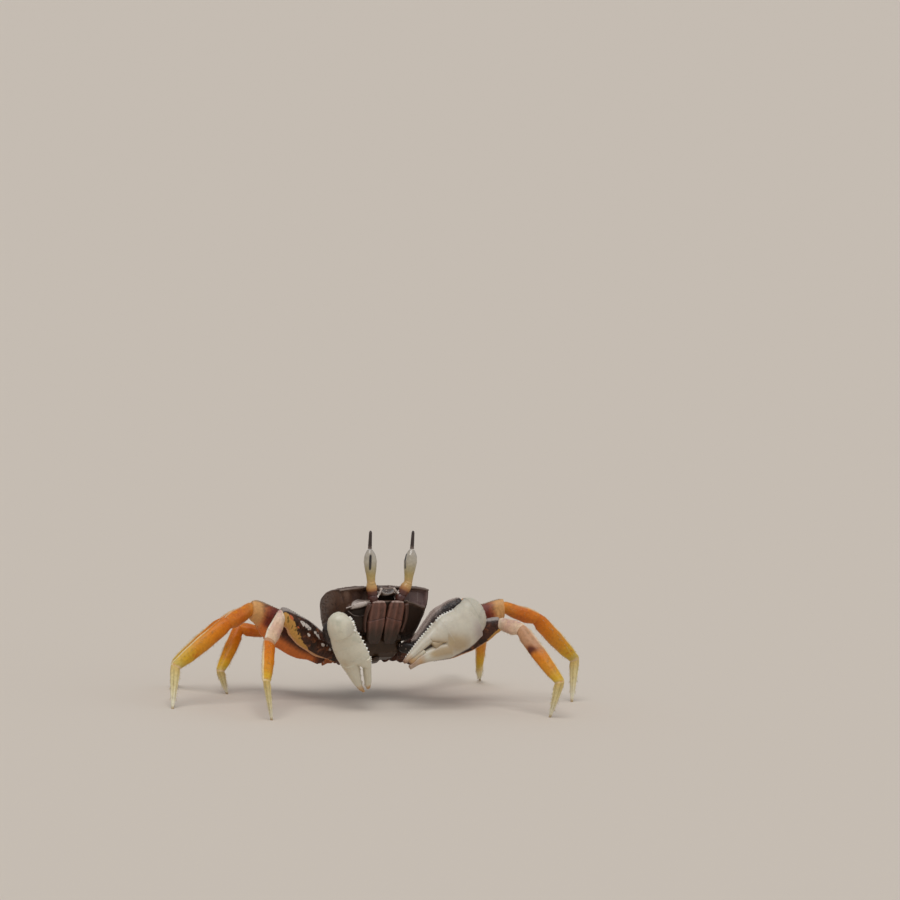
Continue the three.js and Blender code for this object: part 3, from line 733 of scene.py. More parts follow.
def front_wall(z):
    return curves(FRONT_WALL, z)[0]


def socket_margin(x):
    return curves(SOCKET_MARGIN, np.abs(x))[0]


def shell_top(trunk, u, v):
    """The back of the shell: u from side to side, v from the rear to the front margin."""
    f = REAR + v * (FRONT_ROW - REAR)
    half, edge, crown = curves(SHELL_OUTLINE, f)
    x = u * half * trunk.half
    z = edge + (crown - edge) * (1 - np.abs(u) ** SHARPNESS)
    margin = curves(FRONT_MARGIN, np.abs(u) * HALF_FRONT)[0]
    forward = f + ease(4, FRONT_ROW, f) * (margin - FRONT_ROW)
    z = z - 0.22 * np.maximum(forward - FRONT_ROW, 0)
    # The front lobe droops between the eyes; the gill chambers swell; grooves part the regions.
    z = z - 0.5 * bell(x, 0, 2.6) * ease(11, 15.6, forward)
    z = z + 0.25 * bell(np.abs(x), 11, 5) * bell(f, -4, 7)
    grooves = (0.45 * bell(np.abs(x), 3.6 + 0.25 * np.abs(f + 4), 0.8) * bell(f, -4, 5.5)
               + 0.35 * bell(f, 2.2 - 0.012 * x * x, 0.9) * bell(np.abs(x), 6, 6))
    return x, forward, z - grooves, grooves


def corner_line(z):
    """Where the front meets the sides at a height: sideways and forward."""
    wall = front_wall(z) - 0.9 * ease(WALL_FOOT, -2, z)
    return curves(CORNER, z)[0], wall + (FRONT_ROW - wall) * ease(2.5, 8.7, z)


def round_corner(x, f, z):
    """Rounds the upright edge between front and side, gently on the crab's right, tightly on its left."""
    radius = np.where(x < 0, 3.4, 0.9)
    sideways, forward = corner_line(z)
    out, ahead = np.abs(x) - (sideways - radius), f - (forward - radius)
    near = (out > 0) & (ahead > 0)
    pull = np.where(near, 1 - np.maximum(out, ahead) / np.maximum(np.hypot(out, ahead), 1e-6), 0)
    return x - np.sign(x) * out * pull, f - ahead * pull


def leaf_marks(a, z, right):
    """The pale leaf under the right eye, pale partly as painted highlight, its brighter painted highlight
    streak, its veins, and the height from its middle.
    """
    middle, half = curves(LEAF, a)
    height = (z - middle) / half
    leaf = right * ease(3.2, 4.2, a) * (1 - ease(14.2, 15, a)) * (1 - ease(0.7, 1.05, np.abs(height)))
    gleam = leaf * bell(height, -0.45, 0.4) * ease(4.5, 6.5, a) * (1 - ease(11, 13.5, a))
    vein = leaf * (bell(height, 0.2, 0.12) + bell(height, 0.62, 0.1)) * bell(a, 8.5, 4)
    return leaf, gleam, vein, height


def lobe_marks(a, z):
    """The small rounded shield between the eyes, the recess under it, and the fold beside it."""
    away = np.hypot(a / 3.7, (z - 8.7) / 2.9)
    shield = 1 - ease(0.82, 1.0, away)
    recess = (1 - ease(4.6, 6.2, a)) * ease(4.0, 4.6, z) * (1 - ease(6.0, 6.5, z))
    fold_at = 3.7 + 1.6 * ease(7.6, 4.6, z)
    fold = bell(a, fold_at, 0.4) * ease(4.2, 4.8, z) * (1 - ease(7.2, 7.8, z))
    return away, shield, recess, fold


def cheek_marks(a, z, right, leaf_height):
    """The fine ridge that curves over the right cheek, whose pale line is painted highlight, and the hollow
    it shuts in under the leaf, painted dark as shade.
    """
    arc_at = curves(ARC, a)[0]
    arc = right * bell(z, arc_at, 0.26) * ease(4.6, 5.2, a) * (1 - ease(14.5, 16, a))
    hollow = (right * ease(arc_at, arc_at + 0.6, z) * (1 - ease(-1.3, -0.8, leaf_height)) * ease(4.8, 6, a)
              * (1 - ease(14, 15.5, a)))
    return arc, hollow


def shell_front(settings, u, w, f_top, z_top):
    """The front, from the margin down: the sockets, the front lobe, the mouth frame and the walls."""
    lip = settings.lip / MM
    start = z_top - lip
    z = start + (WALL_FOOT - start) * w
    x = u * corner_line(z[:, :1])[0]
    a, right = np.abs(x), x < 0
    wall = front_wall(z) - 0.9 * ease(10, HALF_FRONT, a) * ease(WALL_FOOT, -2, z)
    low = socket_margin(x)
    # Sockets: long smooth hollows between the upper lip and the lower margin.
    front = wall + (f_top - wall) * ease(low, z_top - lip, z)
    open_end = np.where(right, 1 - ease(11.5, 17.5, a), 1 - ease(16.9, 18.6, a))
    hollow = (ease(4.2, 7.4, a) * open_end * ease(low + 0.1, low + 1.6, z)
              * (1 - ease(start - 0.7, start - 0.05, z)))
    front = front - settings.socket_depth / MM * (0.75 + 0.25 * ease(16, 9, a)) * hollow
    # The lower margin is thin, but swells into a pale leaf under the crab's right eye, pale partly as painted
    # highlight.
    leaf, gleam, vein, leaf_height = leaf_marks(a, z, right)
    margin = bell(z, low, 0.3) * ease(5.0, 6.5, a) * (1 - ease(15.5, 17, a))
    margin = margin * np.where(right & (a < 14.6), 0, 1)
    front = front + 0.35 * margin + (1.1 + 0.3 * gleam - 0.3 * vein) * leaf
    # The front lobe stands over a recess painted dark as shade; a pale fold runs down the inner side of each
    # socket.
    away, shield, recess, fold = lobe_marks(a, z)
    front = front - 2.6 * recess * (1 - shield)
    front = front * (1 - shield) + (15.7 + 0.3 * bell(away, 0.8, 0.12)) * shield
    front = front + 0.9 * fold
    # Mouth frame: the walls come forward to hold the mouth plates, under a pale rim.
    plate = 15.4 - 0.669 * (3.3 - z)
    held = (1 - ease(7.9, 11.5, a)) * (1 - ease(3.7, 4.5, z))
    target = plate - 1.1 + 0.75 * bell(a, 8.15, 0.5) + 0.5 * bell(z, 3.95, 0.4) * (a < 8.6)
    front = front + np.maximum(target - front, 0) * held * ease(WALL_FOOT, -6, z)
    upper_rim = bell(z, 3.5, 0.26) * (1 - ease(5.5, 7.6, a))
    arc, cheek = cheek_marks(a, z, right, leaf_height)
    front = front + 0.4 * arc - 0.7 * cheek
    edge = 1 - np.clip((1 - np.abs(u)) * 9, 0, 1)
    front = front * (1 - edge ** 2) + corner_line(z)[1] * edge ** 2
    x, front = round_corner(x, front, z)
    streaks = ~right * hollow * (bell(x, 8.8, 0.3) + bell(x, 11.4, 0.22) + bell(x, 14.6, 0.35))
    lining = hollow * np.where(right, 0.35, 1.4) + 0.5 * ~right * ease(low, low + 1, z) * ease(12, 17, a)
    # Pale rims: on the margins, lobe edge and folds; partly painted highlight on the leaf, and painted
    # highlight along the arc over the right cheek.
    rim = (margin * 0.5 + leaf * (0.85 + 1.5 * gleam - 0.8 * vein) + 0.75 * bell(away, 0.86, 0.1) * (z > 5.4)
           + 0.9 * fold + 0.6 * upper_rim + 0.3 * arc + 0.8 * (arc * bell(a, 7.0, 1.3)) + 0.4 * streaks)
    shadow = (1 - ease(low - 1.2, low + 0.3, z)) * (0.8 + 0.2 * cheek) + recess + 0.5 * cheek
    return x, front, z, {"lining": np.clip(lining, 0, 1), "rim": np.clip(rim, 0, 1.2),
                         "shadow": np.clip(shadow, 0, 1.3) * (1 - leaf), "shield": shield}


def add_back_and_front(shape, trunk, settings):
    """The back of the shell and, from its front margin down, the lip and the front."""
    even = np.linspace(-1, 1, 181)
    u = np.sin(even * UP * 0.97) / math.sin(UP * 0.97)
    u = (0.55 * u + 0.45 * even)[None]
    v = np.linspace(0, 1, 110)[:, None]
    x, f, z, grooves = shell_top(trunk, u, v)
    top = trunk.place(x, f, z)
    # The grooves also darken the back as painted shade.
    shape.sheet(top, flip=True, reach=v, groove=grooves, rim=ease(0.985, 1, v) * 0.4, back=1)
    lip = settings.lip / MM
    turn = np.array([0.15, 0.35, 0.5, 0.65, 0.85])[:, None] * math.pi  # round the lip, from top to bottom
    lip_f = f[-1] + 0.28 * np.sin(turn)
    lip_z = z[-1] - lip / 2 * (1 - np.cos(turn))
    w = np.linspace(0, 1, 150)[:, None] ** 1.25
    front_x, front_f, front_z, masks = shell_front(settings, u, w, f[-1], z[-1])
    front = np.concatenate([
        top[-1:], trunk.place(x[-1:], lip_f, lip_z), trunk.place(front_x, front_f, front_z)])
    lip_rows = len(turn) + 1
    masks = {key: np.concatenate([np.full((lip_rows, u.size), 0.42 if key == "rim" else 0.0), mask])
             for key, mask in masks.items()}
    shape.sheet(front, flip=True, reach=1, **masks)


def add_walls(shape, trunk):
    """The walls, from one front corner round the rear to the other, and the floor between them."""
    q = np.linspace(-1, 1, 241)
    share = 1 - np.abs(q)  # 0 at the front corners, 1 in the middle of the rear
    side = np.sign(q) + (q == 0)
    along_side = np.clip(share / SIDE_SHARE, 0, 1)
    rear = np.clip((share - SIDE_SHARE) / REAR_SHARE, 0, 1)
    edge_f = FRONT_ROW - along_side * (FRONT_ROW - REAR)
    half, edge_z, _ = curves(SHELL_OUTLINE, edge_f)
    upper_x = side * half * trunk.half * (1 - rear)
    _, _, rear_edge, rear_crown = SHELL_OUTLINE[0]
    upper_z = edge_z + np.where(rear > 0, (rear_crown - rear_edge) * (1 - (1 - rear) ** SHARPNESS), 0)
    lower_x, lower_f, lower_z = curves(LOWER_OUTLINE, share)
    down = np.linspace(0, 1, 64)[:, None]
    corner = np.exp(-along_side / 0.05)  # keeps to the front's own corner line
    z = upper_z + (lower_z - upper_z) * down
    corner_x, corner_f = corner_line(z)
    x = upper_x + (side * lower_x - upper_x) * down ** 1.9
    x = x * (1 - corner) + side * corner_x * corner
    f = edge_f + (lower_f - edge_f) * down ** 1.3
    f = f * (1 - corner) + corner_f * corner
    bulge = 0.5 * np.sin(np.pi * down) * (1 - corner)
    x, f = round_corner(x + side * bulge * (1 - rear), f - bulge * rear * 1.2, z)
    ridge = 0.22 * bell(down, 0.012, 0.012)
    wall = trunk.place(x + side * ridge * (1 - rear), f - ridge * rear, z)
    shape.sheet(wall, reach=0.5, back=0.5, rim=0.3 * bell(down, 0, 0.02), shadow=ease(0.45, 0.9, down))
    inward = np.linspace(1, 0.05, 16)[:, None]
    floor = trunk.place(side * lower_x * inward, -5 + (lower_f + 5) * inward, lower_z * (0.6 + 0.4 * inward))
    shape.sheet(floor, reach=0.5, shadow=1)
    return wall


def add_edge_beads(shape, trunk):
    """Beaded side edges, toothed lower margins of the sockets, and beads along the arc on the right cheek."""
    q = both_sides(0.02, 0.78, 80)
    f = FRONT_ROW - np.abs(q) / SIDE_SHARE * (FRONT_ROW - REAR)
    half, edge_z, _ = curves(SHELL_OUTLINE, f)
    shape.beads(trunk.place(np.sign(q) * half * trunk.half, f, edge_z), trunk.direction(np.sign(q), 0, 0.5),
                0.2, rim=0.45, reach=0.5)
    x = both_sides(6.4, 16.5, 24)
    z = socket_margin(x)
    shape.beads(trunk.place(x, front_wall(z) + 0.5, z), trunk.direction(0, 1, 0.6), 0.24, 0.4,
                rim=np.where(x < -14, 1.0, 0.4), reach=1)
    # Beads along the arc over the right cheek, painted pale as highlight near its inner end.
    x = np.linspace(5.2, 15.4, 26)
    z = curves(ARC, x)[0]
    shape.beads(trunk.place(-x, front_wall(z) + 0.1, z), trunk.direction(0, 1, 0), 0.2, 0.35,
                rim=np.where(x < 8, 1.0, 0.5), reach=1)


def add_feelers(shape, trunk, rng):
    """Short pale feelers beside the front lobe, and the small folds round them."""
    drop = np.linspace(0, 1, 16)
    for side, low_end in ((-1, 5.0), (1, 6.6)):
        route = trunk.place(side * (2.7 + 1.9 * drop ** 1.5), 16.1 - 0.5 * drop, 8.6 - (8.6 - low_end) * drop)
        rim = (0.8 + 0.2 * np.sin(drop * 9))[:, None]
        rope(shape, route, 0.42 + 0.12 * np.sin(drop * 14), rim=rim, reach=1)
    shape.ball(trunk.place(5.3, 15.2, 7.2), np.eye(3), [0.85, 0.8, 0.9], 12, 18, rim=0.75, reach=1)
    # Granules over the front lobe, some painted white as highlights.
    count = 40
    x, z = rng.uniform(-2.9, 2.9, count), rng.uniform(6.6, 9.2, count)
    shape.beads(trunk.place(x, 15.65, z), trunk.direction(0, 1, 0), rng.uniform(0.14, 0.3, count), 0.3,
                rim=rng.choice([0.0, 0.3, 1.0], count), shield=rng.choice([0.2, 1.0], count), reach=1)
    count = 16
    x = np.concatenate([rng.uniform(3.4, 6.4, count) * s for s in (1, -1)])
    z = rng.uniform(4.4, 7.6, 2 * count)
    shape.beads(trunk.place(x, 13.2 + 0.35 * (6 - np.abs(x)), z), trunk.direction(0, 1, 0.3),
                rng.uniform(0.18, 0.34, 2 * count), 0.9, rim=rng.uniform(0.1, 1.0, 2 * count), reach=1)


def add_granules(shape, trunk, wall, rng):
    """Granules on the back, thickest towards its sides, and on the upper part of the walls."""
    count = 1500
    u, v = rng.uniform(-0.97, 0.97, count), rng.uniform(0.04, 0.97, count)
    keep = rng.uniform(0, 1, count) < 0.25 + 0.7 * np.abs(u) ** 2
    u, v = u[keep], v[keep]
    x, f, z, _ = shell_top(trunk, u, v)
    shape.beads(trunk.place(x, f, z), trunk.direction(u * 0.3, 0, 1), rng.uniform(0.12, 0.24, len(u)),
                back=1, reach=v, rim=0.12)
    count = 900
    q, down = rng.uniform(-0.97, 0.97, count), rng.uniform(0.03, 0.6, count)
    keep = np.abs(q) > 0.2
    rows, columns = wall.shape[0] - 1, wall.shape[1] - 1
    spots = wall[(down[keep] * rows).astype(int), ((q[keep] + 1) / 2 * columns).astype(int)]
    shape.beads(spots, unit(spots - trunk.place(0.0, -4.0, 2.0)), rng.uniform(0.12, 0.22, len(spots)),
                back=0.5, reach=0.5, rim=0.15)


def build_carapace(settings, material):
    """The whole shell as one piece, down to the walls' lower edges."""
    trunk = Trunk(settings.body_pitch)
    shape = Shape()
    rng = np.random.default_rng(SHELL_SEED)
    add_back_and_front(shape, trunk, settings)
    wall = add_walls(shape, trunk)
    add_edge_beads(shape, trunk)
    add_feelers(shape, trunk, rng)
    add_granules(shape, trunk, wall, rng)
    shape.piece("shell", material, "shell", ["carapace"])


# ---------------------------------------------------------------- operators

def settings_of(context):
    return (context.scene.crab_shell, context.scene.crab_legs, context.scene.crab_claws,
            context.scene.crab_stage)


def trunk_middle():
    low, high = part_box("carapace")
    return np.array((low + high) / 2) / MM


class CRAB_OT_shell(bpy.types.Operator):
    """Build the shell with its eye sockets, front lobe, mouth frame and walls"""
    bl_idname = "crab.shell"
    bl_label = "Shell"

    def execute(self, context):
        shell = context.scene.crab_shell
        # Thick lime-hardened chitin, dark and low-glossed, smooth and lilac in the sockets,
        # with pale worn rims and small pale freckles on the back. Painted shade darkens the grooves; the leaf
        # under the right eye is pale partly as painted highlight, and the arc over the right cheek is pale as
        # painted highlight.
        material = cuticle(
            "lime_hardened_chitin_dark", [(0, shell.dark), (1, shell.dark)],
            [("clouds", 6.0, 0.42, 0.66, "#604636"),
             ("clouds", 2.2, 0.5, 0.72, "#35211a"),
             # Painted shade in the grooves of the back.
             ("value", "groove", 0.12, 0.5, "#211613"),
             ("value", "shadow", 0.2, 1.1, shell.darkest),
             ("value", "lining", 0.25, 1.1, shell.lilac),
             ("value", "shield", 0.3, 1.2, "#6f6967"),
             ("value", "rim", 0.3, 1.1, shell.rim)],
            grain=0.55, relief=0.35, roughness=(0.4, 0.54), coat=0.03, shine=0.32)
        build_carapace(shell, material)
        return {"FINISHED"}


class CRAB_OT_underside(bpy.types.Operator):
    """Finish the breastplate and the folded tail flap, whose solids need no more shape"""
    bl_idname = "crab.underside"
    bl_label = "Breastplate and tail"

    def execute(self, context):
        # Thin plates of the same chitin, smoother and paler in places.
        material = cuticle("thin_chitin_plates", [(0, "#382410"), (1, "#382410")],
                           [("clouds", 3.0, 0.5, 0.7, "#4e3826")], relief=0.15, shine=0.3)
        for name in ("sternum", "abdomen"):
            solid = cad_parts[name]
            solid.data.materials.clear()
            solid.data.materials.append(material)
        return {"FINISHED"}


def plate_front(angle):
    return ease(0.1, 0.6, np.cos(angle))


def rib_wave(share, angle):
    """1 on the tops of a mouth plate's lengthwise ribs and -1 between them."""
    return np.cos(np.sin(angle) * 8.6 + 0.8 * share)


def plate_relief(share, angle):
    ribs = 0.16 * rib_wave(share, angle) * (1 - ease(0.55, 0.95, share) * 0.6)
    joint = -0.4 * bell(share, 0.42 + 0.05 * np.sin(angle), 0.012)
    return plate_front(angle) * (ribs + joint)


# Painted highlight on the tops of the ribs, on the front face of a plate.
def plate_rib_highlights(share, angle):
    return plate_front(angle) * (0.5 + 0.5 * rib_wave(share, angle)) * (1 - 0.6 * ease(0.4, 0.9, share))


def plate_rim(share, angle):
    return 0.9 * (1 - ease(0.0, 0.03, share)) * ease(-0.4, 0.2, np.cos(angle))


class CRAB_OT_mouth(bpy.types.Operator):
    """Build the two ribbed outer mouth plates"""
    bl_idname = "crab.mouth"
    bl_label = "Mouth plates"

    def execute(self, context):
        shell = context.scene.crab_shell
        # Thin ribbed chitin, satin, maroon, with painted highlights on the rib tops.
        material = cuticle(
            "ribbed_chitin_maroon", [(0, shell.mouth), (0.45, shell.mouth), (0.8, "#33200f"), (1, "#2c1c0e")],
            [("clouds", 2.0, 0.5, 0.7, "#432619"),
             ("value", "rib", 0.4, 1.5, "#7c5142"),
             ("value", "rim", 0.4, 1.2, "#b39a90")],
            relief=0.2, roughness=(0.36, 0.5), coat=0.06)
        trunk = Trunk(shell.body_pitch)
        above = trunk_middle() + [0, 0, 60]
        drop = np.linspace(0, 1, 24)
        for name, side in SIDES.items():
            shape = Shape()
            plate = Limb(f"maxilliped_{name}", above, broad=(side, 0, 0), squareness=3.0)
            limb_tube(shape, plate, 90, 72, plate_relief, far_end="dome", rib=plate_rib_highlights, rim=plate_rim)
            # A slender palp lies along the outer side of each plate.
            outer = side * (7.7 + 0.9 * np.sin(math.pi * drop))
            route = trunk.place(outer, 15.3 - 6.6 * drop, 2.6 - 9.8 * drop)
            rope(shape, route, 0.95 * (1 - 0.55 * drop), reach=0.62)
            shape.piece(f"mouth_plate_{name}", material, "mouth", [f"maxilliped_{name}"])
        return {"FINISHED"}


# Which way the dark slit of each eye faces, turned from straight ahead towards the crab's right.
SLIT_WAYS = {"left": math.radians(84), "right": math.radians(22)}


def slit_mask(centre):
    """The long dark slit down one side of a cornea, round a centre angle."""
    def slit(share, angle):
        gap = np.angle(np.exp(1j * (angle - centre - 0.5 * (share - 0.62))))
        return bell(gap, 0, 0.24) * ease(0.34, 0.46, share) * (1 - ease(0.8, 0.92, share))
    return slit


class CRAB_OT_eyes(bpy.types.Operator):
    """Build the eyestalks, the spindle eyes and their horns"""
    bl_idname = "crab.eyes"
    bl_label = "Eyes"

    def execute(self, context):
        shell = context.scene.crab_shell
        # Smooth, thin, waxy chitin on the stalk.
        stalk_skin = cuticle(
            "waxy_chitin_tan", [(0, "#4a231a"), (0.25, "#5e3020"), (0.5, "#a9713c"), (0.7, shell.stalk),
                                (1, "#c09a5e")], grain=0.3, relief=0.08, coat=0.2)
        # The cornea is clear glassy chitin over pale pigment: smooth, with a sharp gleam.
        cornea_skin = cuticle(
            "glassy_cornea", [(0, "#c09a60"), (0.2, "#b29a5c"), (0.42, "#aa9c78"), (0.6, shell.cornea),
                              (1, "#a99f92")], [("value", "slit", 0.25, 0.8, "#1f150d")],
            grain=0.25, relief=0.03, roughness=(0.18, 0.26), coat=0.5, coat_roughness=0.08)
        # Solid horn-like chitin, dull.
        horn_skin = cuticle(
            "dull_chitin_horn", [(0, "#6b5a50"), (0.25, shell.horn), (1, "#3b2e2a")],
            grain=0.3, relief=0.15, roughness=(0.45, 0.6), coat=0.05)
        middle = trunk_middle()
        for name, slit_way in SLIT_WAYS.items():
            stalk, cornea, horn = (Limb(f"{part}_{name}", middle) for part in ("eyestalk", "cornea", "horn"))
            ways = [stalk.thin, stalk.wide, stalk.along]
            shape = Shape()
            limb_tube(shape, stalk, 30, 40, lambda s, a: 0.15 * bell(s, 0.6, 0.3) - 0.2, far_end="dome")
            shape.ball(stalk.start - stalk.along * 1.4, ways, [2.0, 2.0, 2.1], reach=0)
            shape.ball(stalk.end, ways, [1.72, 1.72, 1.3], reach=0.96)
            shape.piece(f"eyestalk_skin_{name}", stalk_skin, "stalk", [f"eyestalk_{name}"])
            way = np.array([-math.sin(slit_way), -math.cos(slit_way), 0])
            slit = slit_mask(math.atan2(way @ cornea.wide, way @ cornea.thin))
            shape = Shape()
            limb_tube(shape, cornea, 70, 56, lambda s, a: -0.22 * slit(s, a), far_end="flat", slit=slit)
            shape.piece(f"cornea_skin_{name}", cornea_skin, "cornea", [f"cornea_{name}"])
            shape = Shape()
            limb_tube(shape, horn, 40, 24, lambda s, a: 0.05 * np.sin(40 * s) * bell(s, 0.1, 0.2),
                      near_end="flat", far_end="point")
            shape.piece(f"horn_skin_{name}", horn_skin, "horn", [f"horn_{name}"])
        return {"FINISHED"}


# ---------------------------------------------------------------- walking legs

# Whitish blotches on the front pair's broad pieces: share of the length, angle round, size along, size round.
BLOTCHES = [
    (0.74, 0.64, 0.03, 0.16), (0.69, 0.6, 0.035, 0.2), (0.63, 0.56, 0.035, 0.22), (0.585, 0.04, 0.022, 0.16),
    (0.5, 0.62, 0.02, 0.16), (0.455, 0.5, 0.022, 0.16), (0.42, 0.4, 0.018, 0.12), (0.34, 0.1, 0.025, 0.1),
    (0.31, -0.1, 0.018, 0.14), (0.27, 0.3, 0.02, 0.12), (0.24, -0.2, 0.03, 0.16), (0.2, 0.2, 0.02, 0.2)]
# Where the tan far end of those pieces begins: height round the piece, share of the length.
TAN_FROM = np.array([
    [-1, 0.42], [-0.93, 0.44], [-0.5, 0.68], [-0.24, 0.76], [0.2, 0.86], [0.56, 0.93], [0.8, 1.06]])
# How late each pair's shins fade from orange to gold, as a power of the share of the length.
SHIN_FADE = {2: 1.4, 3: 0.7, 4: 0.9, 5: 0.9}
KEELS = {"carpus": 0.14, "propodus": 0.12}  # height of the three low keels on wrists and shins
FLUTES = 6  # round a toe


def leg_materials(legs):
    """The materials of the legs' pieces, by piece, for the front pair and for the others."""
    # Broad pieces, rough with small ridges: the front pair dark with whitish blotches and a
    # cream line along the lower edge, the others maroon, rusty below and tan at the far end.
    mottled = cuticle(
        "ridged_chitin_mottled", [(0, "#5a3322"), (0.2, legs.merus), (1, legs.merus)],
        [("clouds", 4.0, 0.45, 0.62, "#2c190e"),
         ("clouds", 2.6, 0.56, 0.66, "#74452a"),
         ("value", "tan", 0.3, 0.8, "#c8944a"),
         ("value", "dusky", 0.4, 0.8, "#8a6a2c"),
         ("value", "dab", 0.4, 0.7, "#c8663a"),
         ("value", "edge", 0.5, 1.1, "#9a8f88"),
         ("value", "blotch", 0.45, 0.75, "#d3c8bd"),
         ("value", "low", 0.55, 0.95, "#cf9a6e")],
        grain=0.6, relief=0.4, coat=0.02, shine=0.26)
    banded = cuticle(
        "ridged_chitin_banded", [(0, "#4e2a18"), (0.66, "#3f1d12"), (0.8, "#702a1a"), (0.87, "#a4562c"),
                                 (0.94, "#d39c60"), (1, "#d39c60")],
        [("clouds", 4.0, 0.5, 0.66, "#54281a"),
         ("value", "low", 0.1, 0.9, "#d0702f"),
         ("value", "reach", 0.85, 0.97, "#d39c60"),
         ("value", "edge", 0.6, 1.2, "#97826a")],
        grain=0.6, relief=0.3, coat=0.02, shine=0.26)
    # Smooth waxed pieces: the front pair's wrists flesh-pink and cream, the others red-orange. The pale lines
    # along the keels of wrists and shins are painted highlight.
    pink = cuticle(
        "smooth_chitin_flesh_pink", [(0, "#e3cbae"), (0.5, "#d9b094"), (1, "#e0c0a0")],
        [("clouds", 3.0, 0.5, 0.7, "#c99c92"), ("value", "edge", 0.5, 1.2, "#ece2ce")],
        relief=0.2, shine=0.3)
    orange_wrist = cuticle(
        "smooth_chitin_orange", [(0, "#d08a3c"), (0.2, "#cb7524"), (0.55, "#c96a1e"), (1, "#d07620")],
        [("clouds", 3.0, 0.52, 0.7, legs.orange), ("value", "edge", 0.7, 1.3, legs.cream)],
        relief=0.2, coat=0.05, shine=0.22)
    shin = cuticle(
        "smooth_chitin_gold", [(0, "#cc6c14"), (0.15, "#d4720c"), (0.36, legs.orange), (0.66, legs.gold),
                               (0.88, "#d4a426"), (0.96, "#c8ab50"), (1, legs.cream)],
        [("clouds", 4.5, 0.56, 0.72, "#c8700c"),
         ("value", "flesh", 0.1, 1.0, "#c0906c"),
         ("value", "pale", 0.4, 0.9, "#e0bea0"),
         ("value", "blot", 0.1, 1.1, "#5f2d1e"),
         ("value", "edge", 0.55, 1.15, "#e9d3a2")],
        relief=0.2, coat=0.05, shine=0.22)
    # Fluted horn-like toes, pale and slightly translucent, worn at the tip, with painted shade in the grooves
    # between the flutes.
    toe = cuticle(
        "fluted_chitin_pale", [(0, "#d6b870"), (0.3, legs.tip), (0.88, "#e6dfc4"), (1, "#b59a6c")],
        [("value", "flute", 0.6, 1.5, "#bfa96c")], relief=0.15, soft=0.05, shine=0.3)
    return (dict(zip(LEG_PIECES, (mottled, pink, shin, toe))),
            dict(zip(LEG_PIECES, (banded, orange_wrist, shin, toe))))


def meet_ends(before, after, give, take, ways):
    """Narrows the end of one piece and widens the root of the next, so that the joint is a shallow fold."""
    for k in ways:
        gap = before.table[-1, k] - after.table[0, k]
        before.table[:, k] -= give * gap * ease(0.7, 1, before.table[:, 0])
        after.table[:, k] += take * gap * (1 - ease(0, 0.35, after.table[:, 0]))


def leg_limbs(label, middle):
    """The four straight runs of one leg, meeting at its joints."""
    limbs = {"merus": Limb(f"{label}_merus", middle, bend="mitred", squareness=1.85)}
    for before, piece in zip(LEG_PIECES, LEG_PIECES[1:]):
        limbs[piece] = Limb(f"{label}_{piece}", limbs[before].end)
    upwards, every_way = (1,), (1, 2, 3, 4)
    meet_ends(limbs["merus"], limbs["carpus"], 1.35 if label == "left_leg4" else 0.4, 0.4, upwards)
    meet_ends(limbs["carpus"], limbs["propodus"], 0.4, 0.5, every_way)
    meet_ends(limbs["propodus"], limbs["dactylus"], 0.1, 0.7, every_way)
    return limbs


def mottled_values(limb, left):
    """Masks of the front pair's broad pieces, each from the share of the length and the angle round."""
    def stir(share, angle, size, seed):
        return ripple(share * limb.length, angle * 3, size, seed)

    def low(share, angle):
        line = ease(0.9 - 0.22 * bell(share, 0.32, 0.16), 0.99, -np.sin(angle))
        return line * np.where(np.cos(angle) > -0.2, 1, 0) * ease(0, 0.2, share)

    def edge(share, angle):
        return around(angle, UP, 0.3 + 0.45 * ease(0.72, 1, share)) * (0.9 + 0.6 * ease(0.68, 0.8, share))

    def blotch(share, angle):
        wander = 0.014 * stir(share, angle, 1.1, 5) + 0.012 * stir(share, angle, 2.3, 6)
        return sum(1.35 * bell(share + wander, place, size) * bell(angle - 5 * wander, turn, spread)
                   for place, turn, size, spread in BLOTCHES)

    def tan(share, angle):
        begin = curves(TAN_FROM, np.sin(angle))[0] + 0.35 * left
        ragged = 0.035 * stir(share, angle, 2.2, 9) + 0.02 * stir(share, angle, 0.9, 2)
        return ease(-0.06, 0.06, share - begin + ragged) * np.where(np.cos(angle) > -0.3, 1, 0.4)

    def dusky(share, angle):
        return (tan(share, angle) * ease(0.1, 0.7, stir(share, angle, 2.6, 12))
                * (1 - ease(0.6, 0.9, -np.sin(angle))))

    def dab(share, angle):
        return 1.2 * (bell(share, 0.9, 0.035) * bell(angle, 0.4, 0.25)
                      + bell(share, 0.77, 0.03) * bell(angle, -0.15, 0.25))

    values = {"low": low, "edge": edge, "blotch": blotch, "tan": tan, "dusky": dusky}
    return values if left else {**values, "dab": dab}


# Masks of the other pairs' broad pieces.
BANDED_VALUES = {
    "low": lambda s, a: ease(0.1, 0.9, -np.sin(a)) * ease(0, 0.2, s),
    "edge": lambda s, a: around(a, UP, 0.3) * 0.9}


def shin_values(label, number):
    """How a shin's colours run, and the marks by the wrists of the front pair."""
    values = {"reach": lambda s, a: s ** SHIN_FADE[number]}
    if label == "right_leg2":
        values["flesh"] = lambda s, a: 1 - ease(0.04, 0.13, s)
    if label == "left_leg2":
        values["flesh"] = lambda s, a: 1.1 - ease(0.12, 0.56, s - 0.1 * np.sin(a))
        values["pale"] = lambda s, a: around(a, UP, 0.75) * (1 - ease(0.3, 0.6, s))
        values["blot"] = lambda s, a: (0.95 * bell(s - 0.04 * np.sin(2 * a), 0.38, 0.075)
                                       * around(a, -0.75, 1.1))
    return values


